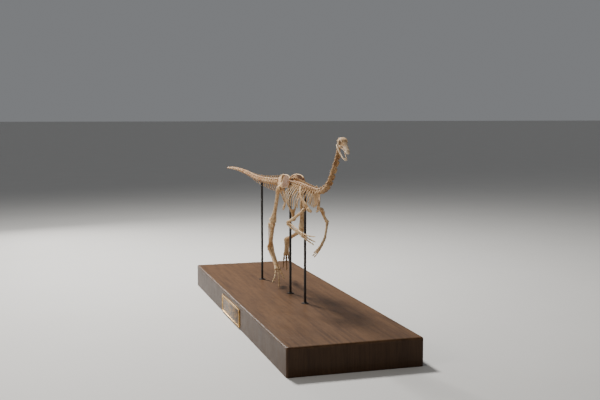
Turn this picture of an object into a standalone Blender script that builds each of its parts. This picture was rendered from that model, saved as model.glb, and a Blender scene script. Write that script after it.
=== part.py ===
"""Mounted skeleton of an ostrich-like dinosaur, Struthiomimus altus, on a wooden board.

Metres, +Z up. The board stands on z = 0 with its middle at the origin. The animal faces +X and its left is +Y.
Skeleton heights are given above the board top.
"""
import math

import bmesh
import bpy
from mathutils import Matrix, Vector

# ---------------------------------------------------------------- board and stand
BOARD_LENGTH = 4.42
BOARD_WIDTH = 1.30
BOARD_HEIGHT = 0.273
BOARD_BEVEL = 0.020
GAP = 0.0003
ROD_RADIUS = 0.0130
FLANGE_RADIUS = 0.040
FLANGE_HEIGHT = 0.014
PLAQUE_CENTRE_X = -0.066
PLAQUE_LENGTH = 0.890
PLAQUE_HEIGHT = 0.195
PLAQUE_DROP = 0.058
PLAQUE_THICK = 0.010

# ---------------------------------------------------------------- spine
TRUNK_Y = 0.030
SACRUM_REAR_X = -0.240
SACRUM_FRONT_X = 0.110
DORSAL_FRONT_X = 0.930
SPINE_RISE = 0.075
HIP_SEAM = 1.163
PUBIS_X = 0.014
ISCHIUM_X = -0.122
CAUDAL_COUNT = 34
DORSAL_COUNT = 13
CERVICAL_COUNT = 10
SACRAL_COUNT = 6
RIB_STEPS = 6
TRUNK_CURVE = [
    (-0.240, 0.030, 1.243),
    (-0.070, 0.030, 1.250),
    (0.110, 0.030, 1.252),
    (0.380, 0.030, 1.250),
    (0.650, 0.030, 1.238),
    (0.930, 0.030, 1.232),
]
NECK_CURVE = [
    (0.930, 0.030, 1.232),
    (1.060, 0.032, 1.250),
    (1.200, 0.035, 1.291),
    (1.298, 0.037, 1.344),
    (1.368, 0.038, 1.408),
    (1.424, 0.040, 1.474),
    (1.484, 0.041, 1.544),
    (1.531, 0.042, 1.606),
    (1.567, 0.043, 1.672),
    (1.590, 0.044, 1.7575),
]
TAIL_CURVE = [
    (-0.240, 0.030, 1.243),
    (-0.382, 0.012, 1.232),
    (-0.684, -0.030, 1.222),
    (-0.949, -0.067, 1.226),
    (-1.169, -0.097, 1.242),
    (-1.516, -0.145, 1.286),
    (-1.883, -0.194, 1.309),
    (-2.174, -0.233, 1.304),
]

# ---------------------------------------------------------------- joints, above the board top
SIDES = {"right": -1.0, "left": 1.0}
HIP = {"right": (-0.060, -0.085, 1.195), "left": (-0.060, 0.145, 1.195)}
KNEE = {"right": (-0.285, -0.110, 0.775), "left": (0.040, 0.150, 0.736)}
ANKLE = {"right": (-0.668, -0.038, 0.438), "left": (-0.447, 0.110, 0.559)}
TOE_ROOT = {"right": (-0.402, -0.016, 0.206), "left": (-0.718, 0.176, 0.330)}
TOE_TIPS = {
    "right": {
        "inner": (-0.352, 0.050, 0.104),
        "middle": (-0.352, -0.018, 0.004),
        "outer": (-0.360, -0.097, 0.064),
    },
    "left": {
        "inner": (-0.780, 0.149, 0.156),
        "middle": (-0.780, 0.199, 0.123),
        "outer": (-0.790, 0.262, 0.112),
    },
}
SHOULDER = {"right": (0.845, -0.050, 1.050), "left": (0.822, 0.096, 1.052)}
SCAPULA_END = {"right": (0.640, -0.058, 1.262), "left": (0.640, 0.118, 1.262)}
CORACOID_END = {"right": (0.862, -0.006, 1.022), "left": (0.852, 0.062, 1.022)}
ELBOW = {"right": (0.585, -0.179, 0.885), "left": (0.611, 0.252, 0.878)}
WRIST = {"right": (0.804, -0.129, 0.816), "left": (0.777, 0.172, 0.732)}
HAND_END = {"right": (0.908, -0.108, 0.790), "left": (0.850, 0.111, 0.671)}
FINGER_TIPS = {
    "right": {
        "first": (1.107, -0.047, 0.712),
        "second": (1.112, -0.036, 0.745),
        "third": (1.120, -0.038, 0.800),
    },
    "left": {
        "first": (0.968, -0.008, 0.566),
        "second": (1.003, -0.036, 0.588),
        "third": (1.030, -0.034, 0.622),
    },
}
ROD_FEET = {"tail": (-0.949, -0.067), "hip": (-0.025, 0.028), "chest": (0.528, 0.032)}
ROD_TOPS = {"tail": 1.1955, "hip": 1.2120, "chest": 1.2040}

# ---------------------------------------------------------------- skull
SKULL_BACK = (1.612, 0.044, 1.770)
SKULL_PITCH = math.radians(-19.0)
JAW_OPEN = math.radians(18.5)
SKULL_LENGTH = 0.252


# ================================================================ helpers
def clear_scene():
    for old in list(bpy.data.objects):
        bpy.data.objects.remove(old, do_unlink=True)


def up(point):
    """A skeleton point, given above the board top, in world coordinates."""
    return Vector((point[0], point[1], point[2] + BOARD_HEIGHT))


def smooth_curve(points, count):
    """Evenly spaced points along a Catmull-Rom curve through the control points."""
    points = [Vector(p) for p in points]
    ends = [2 * points[0] - points[1]] + list(points) + [2 * points[-1] - points[-2]]
    fine = []
    for i in range(1, len(ends) - 2):
        for k in range(24):
            t = k / 24.0
            a, b, c, d = ends[i - 1 : i + 3]
            fine.append(
                0.5
                * (
                    2 * b
                    + (c - a) * t
                    + (2 * a - 5 * b + 4 * c - d) * t * t
                    + (3 * b - a - 3 * c + d) * t * t * t
                )
            )
    fine.append(points[-1].copy())
    run = [0.0]
    for p, q in zip(fine, fine[1:]):
        run.append(run[-1] + (q - p).length)
    out = []
    j = 0
    for i in range(count):
        want = run[-1] * i / (count - 1)
        while j < len(run) - 2 and run[j + 1] < want:
            j += 1
        span = max(run[j + 1] - run[j], 1e-9)
        out.append(fine[j].lerp(fine[j + 1], (want - run[j]) / span))
    return out


def tangent(path, i):
    return (path[min(i + 1, len(path) - 1)] - path[max(i - 1, 0)]).normalized()


def across(direction, side_hint):
    """Side and up vectors square to a direction, the side one near the hint."""
    side = side_hint - direction * side_hint.dot(direction)
    side.normalize()
    return side, side.cross(direction).normalized()


def loft(stations, sides):
    """A closed skin over elliptical rings. Each station is (centre, half side vector, half up vector)."""
    bm = bmesh.new()
    rings = []
    for centre, side, rise in stations:
        normal = side.cross(rise).normalized()
        place = Matrix(
            (
                (side.x, rise.x, normal.x, centre.x),
                (side.y, rise.y, normal.y, centre.y),
                (side.z, rise.z, normal.z, centre.z),
                (0.0, 0.0, 0.0, 1.0),
            )
        )
        verts = bmesh.ops.create_circle(bm, cap_ends=False, radius=1.0, segments=sides, matrix=place)["verts"]
        rings.append(list({edge for vert in verts for edge in vert.link_edges}))
    bmesh.ops.contextual_create(bm, geom=rings[0])
    bmesh.ops.contextual_create(bm, geom=rings[-1])
    for first, second in zip(rings, rings[1:]):
        bmesh.ops.bridge_loops(bm, edges=first + second)
    bmesh.ops.recalc_face_normals(bm, faces=bm.faces)
    return bm


def tube(path, radii, side_hint, sides=6, flat=1.0):
    """A rounded bar along a path. radii holds one radius, or (side, up) pair, per point."""
    stations = []
    for i, centre in enumerate(path):
        side, rise = across(tangent(path, i), side_hint)
        wide, tall = radii[i] if isinstance(radii[i], tuple) else (radii[i], radii[i] * flat)
        stations.append((centre, side * wide, rise * tall))
    return loft(stations, sides)


def new_object(name, bm):
    mesh = bpy.data.meshes.new(name)
    bm.to_mesh(mesh)
    bm.free()
    obj = bpy.data.objects.new(name, mesh)
    bpy.context.scene.collection.objects.link(obj)
    return obj


def finish_mesh(obj, bm):
    bmesh.ops.remove_doubles(bm, verts=bm.verts, dist=0.00001)
    bmesh.ops.dissolve_degenerate(bm, edges=bm.edges, dist=0.00001)
    bmesh.ops.triangulate(bm, faces=bm.faces)
    bmesh.ops.recalc_face_normals(bm, faces=bm.faces)
    bm.to_mesh(obj.data)
    bm.free()


def combine(name, pieces, operation="UNION"):
    """One object from pieces that grow into each other, or from a first piece less the others."""
    base = new_object(name, pieces[0])
    if len(pieces) > 1:
        group = bpy.data.collections.new(name + "_pieces")
        for i, bm in enumerate(pieces[1:]):
            mesh = bpy.data.meshes.new(f"{name}_piece{i}")
            bm.to_mesh(mesh)
            bm.free()
            group.objects.link(bpy.data.objects.new(f"{name}_piece{i}", mesh))
        mod = base.modifiers.new("join", "BOOLEAN")
        mod.operand_type = "COLLECTION"
        mod.collection = group
        mod.operation = operation
        mod.solver = "EXACT"
        bpy.context.view_layer.update()
        graph = bpy.context.evaluated_depsgraph_get()
        joined = bpy.data.meshes.new_from_object(base.evaluated_get(graph))
        base.modifiers.clear()
        base.data = joined
        for extra in list(group.objects):
            bpy.data.objects.remove(extra, do_unlink=True)
        bpy.data.collections.remove(group)
    bm = bmesh.new()
    bm.from_mesh(base.data)
    finish_mesh(base, bm)
    return base


def subtract(obj, cutters):
    bm = bmesh.new()
    bm.from_mesh(obj.data)
    name = obj.name
    bpy.data.objects.remove(obj, do_unlink=True)
    return combine(name, [bm] + cutters, "DIFFERENCE")


def slice_flat(obj, point, normal, keep_front):
    """Keeps the part of a solid on one side of a plane, and closes the cut."""
    bm = bmesh.new()
    bm.from_mesh(obj.data)
    geom = list(bm.verts) + list(bm.edges) + list(bm.faces)
    cut = bmesh.ops.bisect_plane(
        bm,
        geom=geom,
        dist=0.000001,
        plane_co=point,
        plane_no=normal,
        clear_inner=keep_front,
        clear_outer=not keep_front,
    )
    rim = [item for item in cut["geom_cut"] if isinstance(item, bmesh.types.BMEdge)]
    bmesh.ops.triangle_fill(bm, use_beauty=True, use_dissolve=False, edges=rim)
    finish_mesh(obj, bm)
    return obj


def material(name, colour, rough, metallic=0.0):
    mat = bpy.data.materials.new(name)
    mat.use_nodes = True
    shader = mat.node_tree.nodes["Principled BSDF"]
    shader.inputs["Base Color"].default_value = (*colour, 1.0)
    shader.inputs["Roughness"].default_value = rough
    shader.inputs["Metallic"].default_value = metallic
    return mat


def seat(obj, mat, parent):
    """Gives a finished bone its material, its own middle as origin, and its place on the mount."""
    low = [min(v.co[k] for v in obj.data.vertices) for k in range(3)]
    high = [max(v.co[k] for v in obj.data.vertices) for k in range(3)]
    middle = Vector([round((a + b) * 0.5, 3) for a, b in zip(low, high)])
    obj.data.transform(Matrix.Translation(-middle))
    obj.location = middle
    obj.parent = parent
    obj.data.materials.clear()
    obj.data.materials.append(mat)


def mitre(nearer, farther, joint, way_in, way_out):
    """Parts the bones on both sides of a joint by a thin cut on the plane between their ways."""
    normal = (way_in.normalized() + way_out.normalized()).normalized()
    for bone in nearer:
        slice_flat(bone, up(joint) - normal * GAP, normal, False)
    for bone in farther:
        slice_flat(bone, up(joint) + normal * GAP, normal, True)


# ================================================================ bones
def long_bone(name, start, end, profile, front, sides=8, bow=0.0, extras=()):
    """A limb bone. profile rows are (share of length, half width, half depth). front is the way the bone faces."""
    a, b = up(start), up(end)
    way = (b - a).normalized()
    fore = (front - way * front.dot(way)).normalized()
    side = way.cross(fore)
    stations = []
    for share, wide, deep in profile:
        centre = a.lerp(b, share) + fore * bow * math.sin(math.pi * min(max(share, 0.0), 1.0))
        stations.append((centre, side * wide, fore * deep))
    return combine(name, [loft(stations, sides)] + list(extras))


def femur(side):
    hip, knee = Vector(HIP[side]), Vector(KNEE[side])
    out = Vector((0.0, SIDES[side], 0.0))
    head_at = up(hip) - out * 0.030
    head = bmesh.new()
    bmesh.ops.create_icosphere(head, subdivisions=1, radius=0.027, matrix=Matrix.Translation(head_at))
    neck = tube([head_at, up(hip) + out * 0.014], [0.017, 0.022], Vector((1, 0, 0)), 6)
    profile = [
        (-0.045, 0.014, 0.022),
        (0.000, 0.022, 0.034),
        (0.070, 0.026, 0.034),
        (0.180, 0.021, 0.025),
        (0.400, 0.020, 0.022),
        (0.650, 0.021, 0.023),
        (0.820, 0.026, 0.028),
        (0.930, 0.036, 0.040),
        (0.985, 0.034, 0.036),
        (1.000, 0.026, 0.026),
    ]
    start = hip + out * 0.014
    end = knee + (hip - knee).normalized() * 0.004
    return long_bone("femur_" + side, start, end, profile, Vector((1, 0, 0.3)), 8, 0.012, (neck, head))


def shin(side):
    knee, ankle = Vector(KNEE[side]), Vector(ANKLE[side])
    way = (ankle - knee).normalized()
    out = Vector((0.0, SIDES[side], 0.0))
    front = Vector((1.0, 0.0, -0.8))
    fore = (front - way * front.dot(way)).normalized()
    profile = [
        (0.000, 0.024, 0.030),
        (0.030, 0.032, 0.042),
        (0.090, 0.029, 0.042),
        (0.180, 0.021, 0.030),
        (0.400, 0.018, 0.019),
        (0.700, 0.017, 0.016),
        (0.880, 0.025, 0.018),
        (0.960, 0.033, 0.026),
        (1.000, 0.026, 0.022),
    ]
    start = knee + way * 0.006
    end = ankle - way * 0.004
    tibia = long_bone("tibia_" + side, start, end, profile, front, 8, 0.006)
    splint = [
        (0.000, 0.010, 0.022),
        (0.060, 0.010, 0.022),
        (0.250, 0.006, 0.009),
        (0.600, 0.004, 0.005),
        (1.000, 0.004, 0.004),
    ]
    head = knee + way * 0.022 + out * 0.0418 - fore * 0.010
    foot = knee.lerp(ankle, 0.74) + out * 0.0235 + fore * 0.004
    fibula = long_bone("fibula_" + side, head, foot, splint, front, 6)
    return [tibia, fibula]


def leg(side):
    """Thigh, shin, foot and toes of one side, parted at each joint."""
    hip, knee, ankle, root = (Vector(table[side]) for table in (HIP, KNEE, ANKLE, TOE_ROOT))
    thigh = femur(side)
    shins = shin(side)
    cannon, toes = foot(side)
    mitre([thigh], shins, knee, knee - hip, ankle - knee)
    mitre(shins[:1], [cannon], ankle, ankle - knee, root - ankle)
    middle = Vector(TOE_TIPS[side]["middle"])
    mitre([cannon], toes, root, root - ankle, middle - root)
    return [thigh, cannon] + shins + toes


def foot(side):
    ankle, root = Vector(ANKLE[side]), Vector(TOE_ROOT[side])
    way = (root - ankle).normalized()
    out = Vector((0.0, SIDES[side], 0.0))
    front = Vector((1.0, 0.0, 1.0)) if side == "right" else Vector((1.0, 0.0, -0.6))
    profile = [
        (0.000, 0.028, 0.024),
        (0.035, 0.034, 0.030),
        (0.120, 0.029, 0.024),
        (0.450, 0.022, 0.018),
        (0.800, 0.024, 0.016),
        (0.920, 0.036, 0.017),
        (0.975, 0.038, 0.018),
        (1.000, 0.034, 0.012),
    ]
    cannon = long_bone("metatarsus_" + side, ankle + way * 0.006, root - way * 0.004, profile, front, 10)
    toes = []
    spread = {"inner": -0.026, "middle": 0.0, "outer": 0.026}
    for toe, shift in spread.items():
        start = root + out * shift + way * (0.006 if toe == "middle" else 0.002)
        toes.append(digit(f"toe_{toe}_{side}", start, TOE_TIPS[side][toe], way, 3 if toe == "inner" else 4, 0.0128))
    return cannon, toes


def digit(name, start, tip, way, joints, radius):
    """A finger or toe: knuckled bones in a row, ending in a claw."""
    a, b = up(start), up(tip)
    reach = (b - a).length
    lead = (way.normalized() * 0.30 + (b - a).normalized() * 0.70).normalized()
    middle = a + lead * reach * 0.48
    path = smooth_curve([a, middle, b], 2 * joints + 2)
    radii = []
    for i in range(len(path)):
        fade = 1.0 - 0.42 * i / (len(path) - 1)
        waist = 0.72 if i % 2 else 1.0
        radii.append(radius * fade * waist)
    radii[0] = radius * 0.8
    radii[-2] = radius * 0.60
    radii[-1] = radius * 0.10
    return combine(name, [tube(path, radii, Vector((0, 1, 0)), 5)])


def shoulder(side):
    """Shoulder blade and coracoid, grown together."""
    out = Vector((0.0, SIDES[side], 0.0))
    blade_end, joint, toe = up(SCAPULA_END[side]), up(SHOULDER[side]), up(CORACOID_END[side])
    joint = joint - out * 0.014
    belly = joint.lerp(blade_end, 0.5) + out * 0.028 + Vector((-0.008, 0, 0.006))
    path = smooth_curve([blade_end, belly, joint], 7)
    widths = [(0.026, 0.0045), (0.027, 0.006), (0.022, 0.007), (0.018, 0.008), (0.020, 0.010), (0.028, 0.014), (0.024, 0.014)]
    stations = []
    for i, centre in enumerate(path):
        way = tangent(path, i)
        thin = (out - way * out.dot(way)).normalized()
        wide = way.cross(thin)
        stations.append((centre, wide * widths[i][0], thin * widths[i][1]))
    blade = loft(stations, 8)
    start = joint + Vector((0.004, 0, 0.014))
    cup = smooth_curve([start, start.lerp(toe, 0.5) + out * 0.012, toe], 5)
    sizes = [(0.026, 0.013), (0.036, 0.012), (0.038, 0.011), (0.034, 0.012), (0.022, 0.010)]
    stations = []
    for i, centre in enumerate(cup):
        way = tangent(cup, i)
        wide = (Vector((1.0, 0, 0.35)) - way * Vector((1.0, 0, 0.35)).dot(way)).normalized()
        stations.append((centre, wide * sizes[i][0], way.cross(wide) * sizes[i][1]))
    return combine("scapula_" + side, [blade, loft(stations, 8)])


def arm(side):
    shoulder_at, elbow = Vector(SHOULDER[side]), Vector(ELBOW[side])
    wrist, hand = Vector(WRIST[side]), Vector(HAND_END[side])
    out = Vector((0.0, SIDES[side], 0.0))
    shaft = [
        (0.000, 0.016, 0.014),
        (0.030, 0.026, 0.018),
        (0.140, 0.026, 0.014),
        (0.280, 0.017, 0.013),
        (0.600, 0.013, 0.013),
        (0.880, 0.018, 0.014),
        (0.970, 0.022, 0.015),
        (1.000, 0.016, 0.012),
    ]
    way = (elbow - shoulder_at).normalized()
    start = shoulder_at + way * 0.014 + out * 0.016
    humerus = long_bone("humerus_" + side, start, elbow - way * 0.005, shaft, Vector((0.4, 0, 1)), 8, -0.006)
    way = (wrist - elbow).normalized()
    spread = Vector((0.0, 0.0, 1.0)) - way * way.z
    spread.normalize()
    fore = [
        (0.000, 0.011, 0.012),
        (0.060, 0.013, 0.014),
        (0.200, 0.009, 0.009),
        (0.750, 0.0075, 0.0075),
        (0.930, 0.010, 0.010),
        (1.000, 0.009, 0.008),
    ]
    radius = long_bone(
        "radius_" + side, elbow + way * 0.014 + spread * 0.014, wrist - way * 0.004 + spread * 0.011, fore, spread, 6
    )
    ulna = long_bone(
        "ulna_" + side, elbow - way * 0.002 - spread * 0.0145, wrist - way * 0.004 - spread * 0.011, fore, spread, 6, -0.006
    )
    mitre([humerus], [radius, ulna], elbow, elbow - shoulder_at, wrist - elbow)
    bones = [humerus, radius, ulna]
    way = (hand - wrist).normalized()
    palm_side = (spread - way * spread.dot(way)).normalized()
    palm = []
    for k in (-1.0, 0.0, 1.0):
        a = up(wrist + way * 0.004 + palm_side * k * 0.010)
        b = up(hand - way * 0.004 + palm_side * k * 0.017)
        palm.append(tube([a, a.lerp(b, 0.10), a.lerp(b, 0.5), a.lerp(b, 0.92), b], [0.009, 0.0105, 0.007, 0.0095, 0.007], palm_side, 5))
    bones.append(combine("metacarpus_" + side, palm))
    for k, finger in zip((-1.0, 0.0, 1.0), ("first", "second", "third")):
        start = hand + palm_side * k * 0.017 + way * 0.0045
        bones.append(digit(f"finger_{finger}_{side}", start, FINGER_TIPS[side][finger], way, 3, 0.0095))
    return bones


# ================================================================ spine
def backbone(path, radii, first_way, last_way, sides=6, waist=0.78):
    """Spool-shaped vertebral bodies in a row along a path, two rings to each. The end faces square to given ways."""
    stations = []
    count = len(path)
    for i, centre in enumerate(path):
        way = {0: first_way, count - 1: last_way}.get(i, tangent(path, i))
        side, rise = across(way, Vector((0, 1, 0)))
        share = radii[i] * (waist if i % 2 else 1.0)
        if i in (0, count - 1):
            share = radii[i] * 0.94
        stations.append((centre, side * share, rise * share))
    return loft(stations, sides)


def fin(base, top, length_low, length_high, thick, way):
    """A neural spine, chevron or side process: a thin blade from base to top, long along the spine."""
    rise = (top - base).normalized()
    along = (way - rise * way.dot(rise)).normalized()
    side = rise.cross(along)
    stations = [
        (base, along * length_low * 0.5, side * thick),
        (top, along * length_high * 0.5, side * thick * 0.7),
    ]
    return loft(stations, 4)


def rib_path(root, side, wide, depth, sweep):
    """A rib's curve from its head on the spine, out, down and back."""
    points = []
    for k in range(RIB_STEPS):
        s = k / (RIB_STEPS - 1.0)
        out = wide * math.sin(math.pi * (0.03 + 0.60 * s ** 0.9))
        down = 0.010 * math.sin(math.pi * min(s * 2.5, 1.0)) - depth * s ** 1.15
        points.append(root + Vector((-sweep * s ** 1.3, side * out, down)))
    return points


def neck_bones():
    """The neck in two lengths."""
    controls = [up(p) for p in NECK_CURVE]
    path = smooth_curve(controls, 2 * CERVICAL_COUNT + 1)
    half = CERVICAL_COUNT // 2
    lengths = []
    for name, first, last in (("neck_lower", 0, half), ("neck_upper", half, CERVICAL_COUNT)):
        part = path[2 * first : 2 * last + 1]
        start_way = Vector((1, 0, 0)) if first == 0 else tangent(path, 2 * first)
        end_way = tangent(path, 2 * last)
        part[0] = part[0] + start_way * GAP * 0.5
        part[-1] = part[-1] - end_way * GAP * 0.5
        radii = []
        arch = []
        for i, centre in enumerate(part):
            size = 1.0 - 0.15 * (2 * first + i) / CERVICAL_COUNT
            radii.append(0.0260 * size)
            way = {0: start_way, len(part) - 1: end_way}.get(i, tangent(path, 2 * first + i))
            side, rise = across(way, Vector((0, -1, 0)))
            if i % 2:
                arch.append((centre + rise * 0.019 * size, side * 0.015 * size, rise * 0.016 * size))
            else:
                arch.append((centre + rise * 0.023 * size, side * 0.027 * size, rise * 0.010 * size))
        pieces = [backbone(part, radii, start_way, end_way, 6, 0.76), loft(arch, 6)]
        for n in range(first, last):
            here, way = path[2 * n + 1], tangent(path, 2 * n + 1)
            side, rise = across(way, Vector((0, -1, 0)))
            size = 1.0 - 0.30 * n / CERVICAL_COUNT
            span = (path[2 * n + 2] - path[2 * n]).length
            crest = here + rise * (0.046 * size) - way * 0.004
            pieces.append(fin(here, crest, span * 0.44, span * 0.30, 0.006, way))
            # the ring under the skull carries no ribs
            for hand in (-1.0, 1.0) if n < CERVICAL_COUNT - 1 else ():
                root = here + way * span * 0.28 + side * hand * 0.010 - rise * 0.006
                knee = here + way * span * 0.16 + (side * hand * 0.031 - rise * 0.013) * size
                tip = here - way * span * 0.44 + (side * hand * 0.026 - rise * 0.017) * size
                pieces.append(tube([root, knee, tip], [0.0100, 0.0095, 0.0050], rise, 4))
        length = combine(name, pieces)
        slice_flat(length, path[2 * first] + start_way * GAP * 0.5, start_way, True)
        if last < CERVICAL_COUNT:
            slice_flat(length, path[2 * last] - end_way * GAP * 0.5, end_way, False)
        lengths.append(length)
    return lengths


def rib_cage():
    """The back's vertebrae with their ribs, in two sides split down the middle."""
    controls = [up(p) for p in TRUNK_CURVE]
    whole = smooth_curve(controls, 401)
    dorsal = [p for p in whole if SACRUM_FRONT_X - 1e-6 <= p.x <= DORSAL_FRONT_X + 1e-6]
    path = smooth_curve([dorsal[0], dorsal[len(dorsal) // 3], dorsal[2 * len(dorsal) // 3], dorsal[-1]], 2 * DORSAL_COUNT + 1)
    path[0] = path[0] + Vector((GAP, 0, 0))
    path[-1] = path[-1] - Vector((GAP, 0, 0))
    body = path[::2]
    radii = [0.033 - 0.007 * i / (len(body) - 1) for i in range(len(body))]
    pieces = [backbone(body, radii, Vector((1, 0, 0)), Vector((1, 0, 0)), 6, 1.0)]
    for n in range(DORSAL_COUNT):
        here, way = path[2 * n + 1], tangent(path, 2 * n + 1)
        span = path[2].x - path[0].x
        rise = SPINE_RISE - 0.026 * n / DORSAL_COUNT
        pieces.append(fin(here, here + Vector((-0.004, 0, rise)), span * 0.80, span * 0.74, 0.016, way))
        back = n / (DORSAL_COUNT - 1.0)
        wide = 0.122 * math.sin(math.pi * (0.26 + 0.44 * (1.0 - back)))
        wide = wide * (1.0 - 0.56 * back ** 3)
        shoulder = 0.070 - 0.014 * back
        for hand in (-1.0, 1.0):
            root = here + Vector((0, 0, 0.014))
            end = here + Vector((-0.004, hand * shoulder * 0.80, 0.026))
            pieces.append(fin(root, end, span * 0.62, span * 0.40, 0.010, way))
            if n == 0:
                continue
            depth = 0.262 * math.sin(math.pi * (0.20 + 0.46 * back)) ** 0.8
            depth = depth * (1.0 - 0.30 * back ** 2)
            sweep = 0.125 - 0.045 * back
            curve = rib_path(here + Vector((0, 0, 0.020)), hand, wide, depth, sweep)
            girth = [0.011, 0.0105, 0.0095, 0.0088, 0.0080, 0.0055]
            pieces.append(tube(curve, [(g, g * 0.62) for g in girth], Vector((1, 0, 0)), 4))
    cage = combine("rib_cage_left", pieces)
    twin = cage.copy()
    twin.data = cage.data.copy()
    twin.name = "rib_cage_right"
    bpy.context.scene.collection.objects.link(twin)
    slice_flat(cage, Vector((0, TRUNK_Y + GAP * 0.5, 0)), Vector((0, 1, 0)), True)
    slice_flat(twin, Vector((0, TRUNK_Y - GAP * 0.5, 0)), Vector((0, 1, 0)), False)
    return [cage, twin]


def hip_bones():
    """Sacrum with both hip blades."""
    path = smooth_curve([up(p) for p in TRUNK_CURVE[:3]], SACRAL_COUNT + 1)
    path[0] = path[0] + Vector((GAP, 0, 0))
    path[-1] = path[-1] - Vector((GAP, 0, 0))
    radii = [0.030 + 0.003 * (i % 2) for i in range(len(path))]
    pieces = [backbone(path, radii, Vector((1, 0, 0)), Vector((1, 0, 0)), 6, 0.94)]
    crest = [path[0] + Vector((0.006, 0, 0.034)), path[3] + Vector((0, 0, 0.036)), path[-1] + Vector((-0.006, 0, 0.040))]
    pieces.append(tube(crest, [(0.009, 0.026)] * len(crest), Vector((0, 1, 0)), 4))
    span = path[1].x - path[0].x
    for n in (1, 3, 5):
        here = path[n]
        for hand in (-1.0, 1.0):
            end = here + Vector((0, hand * 0.082, 0.018))
            pieces.append(fin(here, end, span * 0.52, span * 0.72, 0.014, Vector((1, 0, 0))))
    for hand in (-1.0, 1.0):
        # rows: x, lower edge, upper edge above the board, outward offset, half thickness
        rows = [
            (-0.268, 1.222, 1.262, 0.074, 0.005),
            (-0.250, 1.205, 1.300, 0.076, 0.008),
            (-0.170, 1.200, 1.330, 0.081, 0.010),
            (-0.050, 1.186, 1.348, 0.086, 0.013),
            (0.060, 1.202, 1.352, 0.086, 0.009),
            (0.160, 1.212, 1.348, 0.088, 0.007),
            (0.225, 1.220, 1.325, 0.091, 0.006),
            (0.246, 1.245, 1.290, 0.092, 0.004),
        ]
        stations = []
        for x, low, high, out, thick in rows:
            centre = up((x, TRUNK_Y + hand * out, (low + high) * 0.5))
            lean = Vector((0, -hand * 0.20, 1.0)).normalized()
            stations.append((centre, Vector((0, thick, 0)), lean * (high - low) * 0.5))
        pieces.append(loft(stations, 8))
        for x in (PUBIS_X, ISCHIUM_X):
            top = up((x, TRUNK_Y + hand * 0.090, 1.215))
            foot = up((x, TRUNK_Y + hand * 0.090, HIP_SEAM - 0.010))
            pieces.append(tube([top, foot], [(0.026, 0.014), (0.017, 0.013)], Vector((1, 0, 0)), 6))
    pelvis = combine("pelvis", pieces)
    slice_flat(pelvis, up((0, 0, HIP_SEAM + GAP * 0.5)), Vector((0, 0, 1)), True)
    sockets = []
    for side in SIDES:
        centre = up(HIP[side])
        reach = Vector((0, 0.070, 0))
        sockets.append(tube([centre - reach, centre + reach], [0.0310, 0.0310], Vector((1, 0, 0)), 10))
    return subtract(pelvis, sockets)


def pubes():
    """Both pubes, joined low down and ending in the boot."""
    pieces = []
    join = up((0.070, TRUNK_Y, 0.935))
    for hand in (-1.0, 1.0):
        top = up((PUBIS_X, TRUNK_Y + hand * 0.090, HIP_SEAM + 0.008))
        path = smooth_curve([top, up((0.020, TRUNK_Y + hand * 0.072, 1.075)), join + Vector((0, hand * 0.012, 0))], 5)
        sizes = [(0.017, 0.013), (0.012, 0.010), (0.010, 0.009), (0.010, 0.010), (0.013, 0.012)]
        pieces.append(tube(path, sizes, Vector((1, 0, 0)), 6))
    shaft = [join + Vector((-0.003, 0, 0.03)), join + Vector((0.008, 0, -0.03)), up((0.095, TRUNK_Y, 0.872))]
    pieces.append(tube(shaft, [(0.012, 0.018), (0.013, 0.020), (0.016, 0.018)], Vector((1, 0, 0)), 6))
    boot = [up((0.020, TRUNK_Y, 0.838)), up((0.060, TRUNK_Y, 0.846)), up((0.100, TRUNK_Y, 0.860)), up((0.150, TRUNK_Y, 0.876)), up((0.176, TRUNK_Y, 0.890))]
    pieces.append(tube(boot, [(0.008, 0.010), (0.014, 0.017), (0.020, 0.026), (0.019, 0.021), (0.010, 0.010)], Vector((0, 1, 0)), 8))
    bone = combine("pubis", pieces)
    return slice_flat(bone, up((0, 0, HIP_SEAM - GAP * 0.5)), Vector((0, 0, 1)), False)


def ischia():
    """Both ischia, joined along their lower half."""
    pieces = []
    join = up((-0.235, TRUNK_Y, 1.025))
    for hand in (-1.0, 1.0):
        top = up((ISCHIUM_X, TRUNK_Y + hand * 0.090, HIP_SEAM + 0.008))
        path = smooth_curve([top, up((-0.158, TRUNK_Y + hand * 0.062, 1.105)), join + Vector((0, hand * 0.010, 0))], 5)
        sizes = [(0.017, 0.013), (0.012, 0.010), (0.009, 0.008), (0.010, 0.009), (0.012, 0.011)]
        pieces.append(tube(path, sizes, Vector((1, 0, 0)), 6))
    shaft = [join + Vector((0.012, 0, 0.014)), join + Vector((-0.040, 0, -0.046)), up((-0.318, TRUNK_Y, 0.938)), up((-0.330, TRUNK_Y, 0.918))]
    pieces.append(tube(shaft, [(0.012, 0.012), (0.011, 0.012), (0.014, 0.020), (0.010, 0.013)], Vector((0, 1, 0)), 6))
    bone = combine("ischium", pieces)
    return slice_flat(bone, up((0, 0, HIP_SEAM - GAP * 0.5)), Vector((0, 0, 1)), False)


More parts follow.
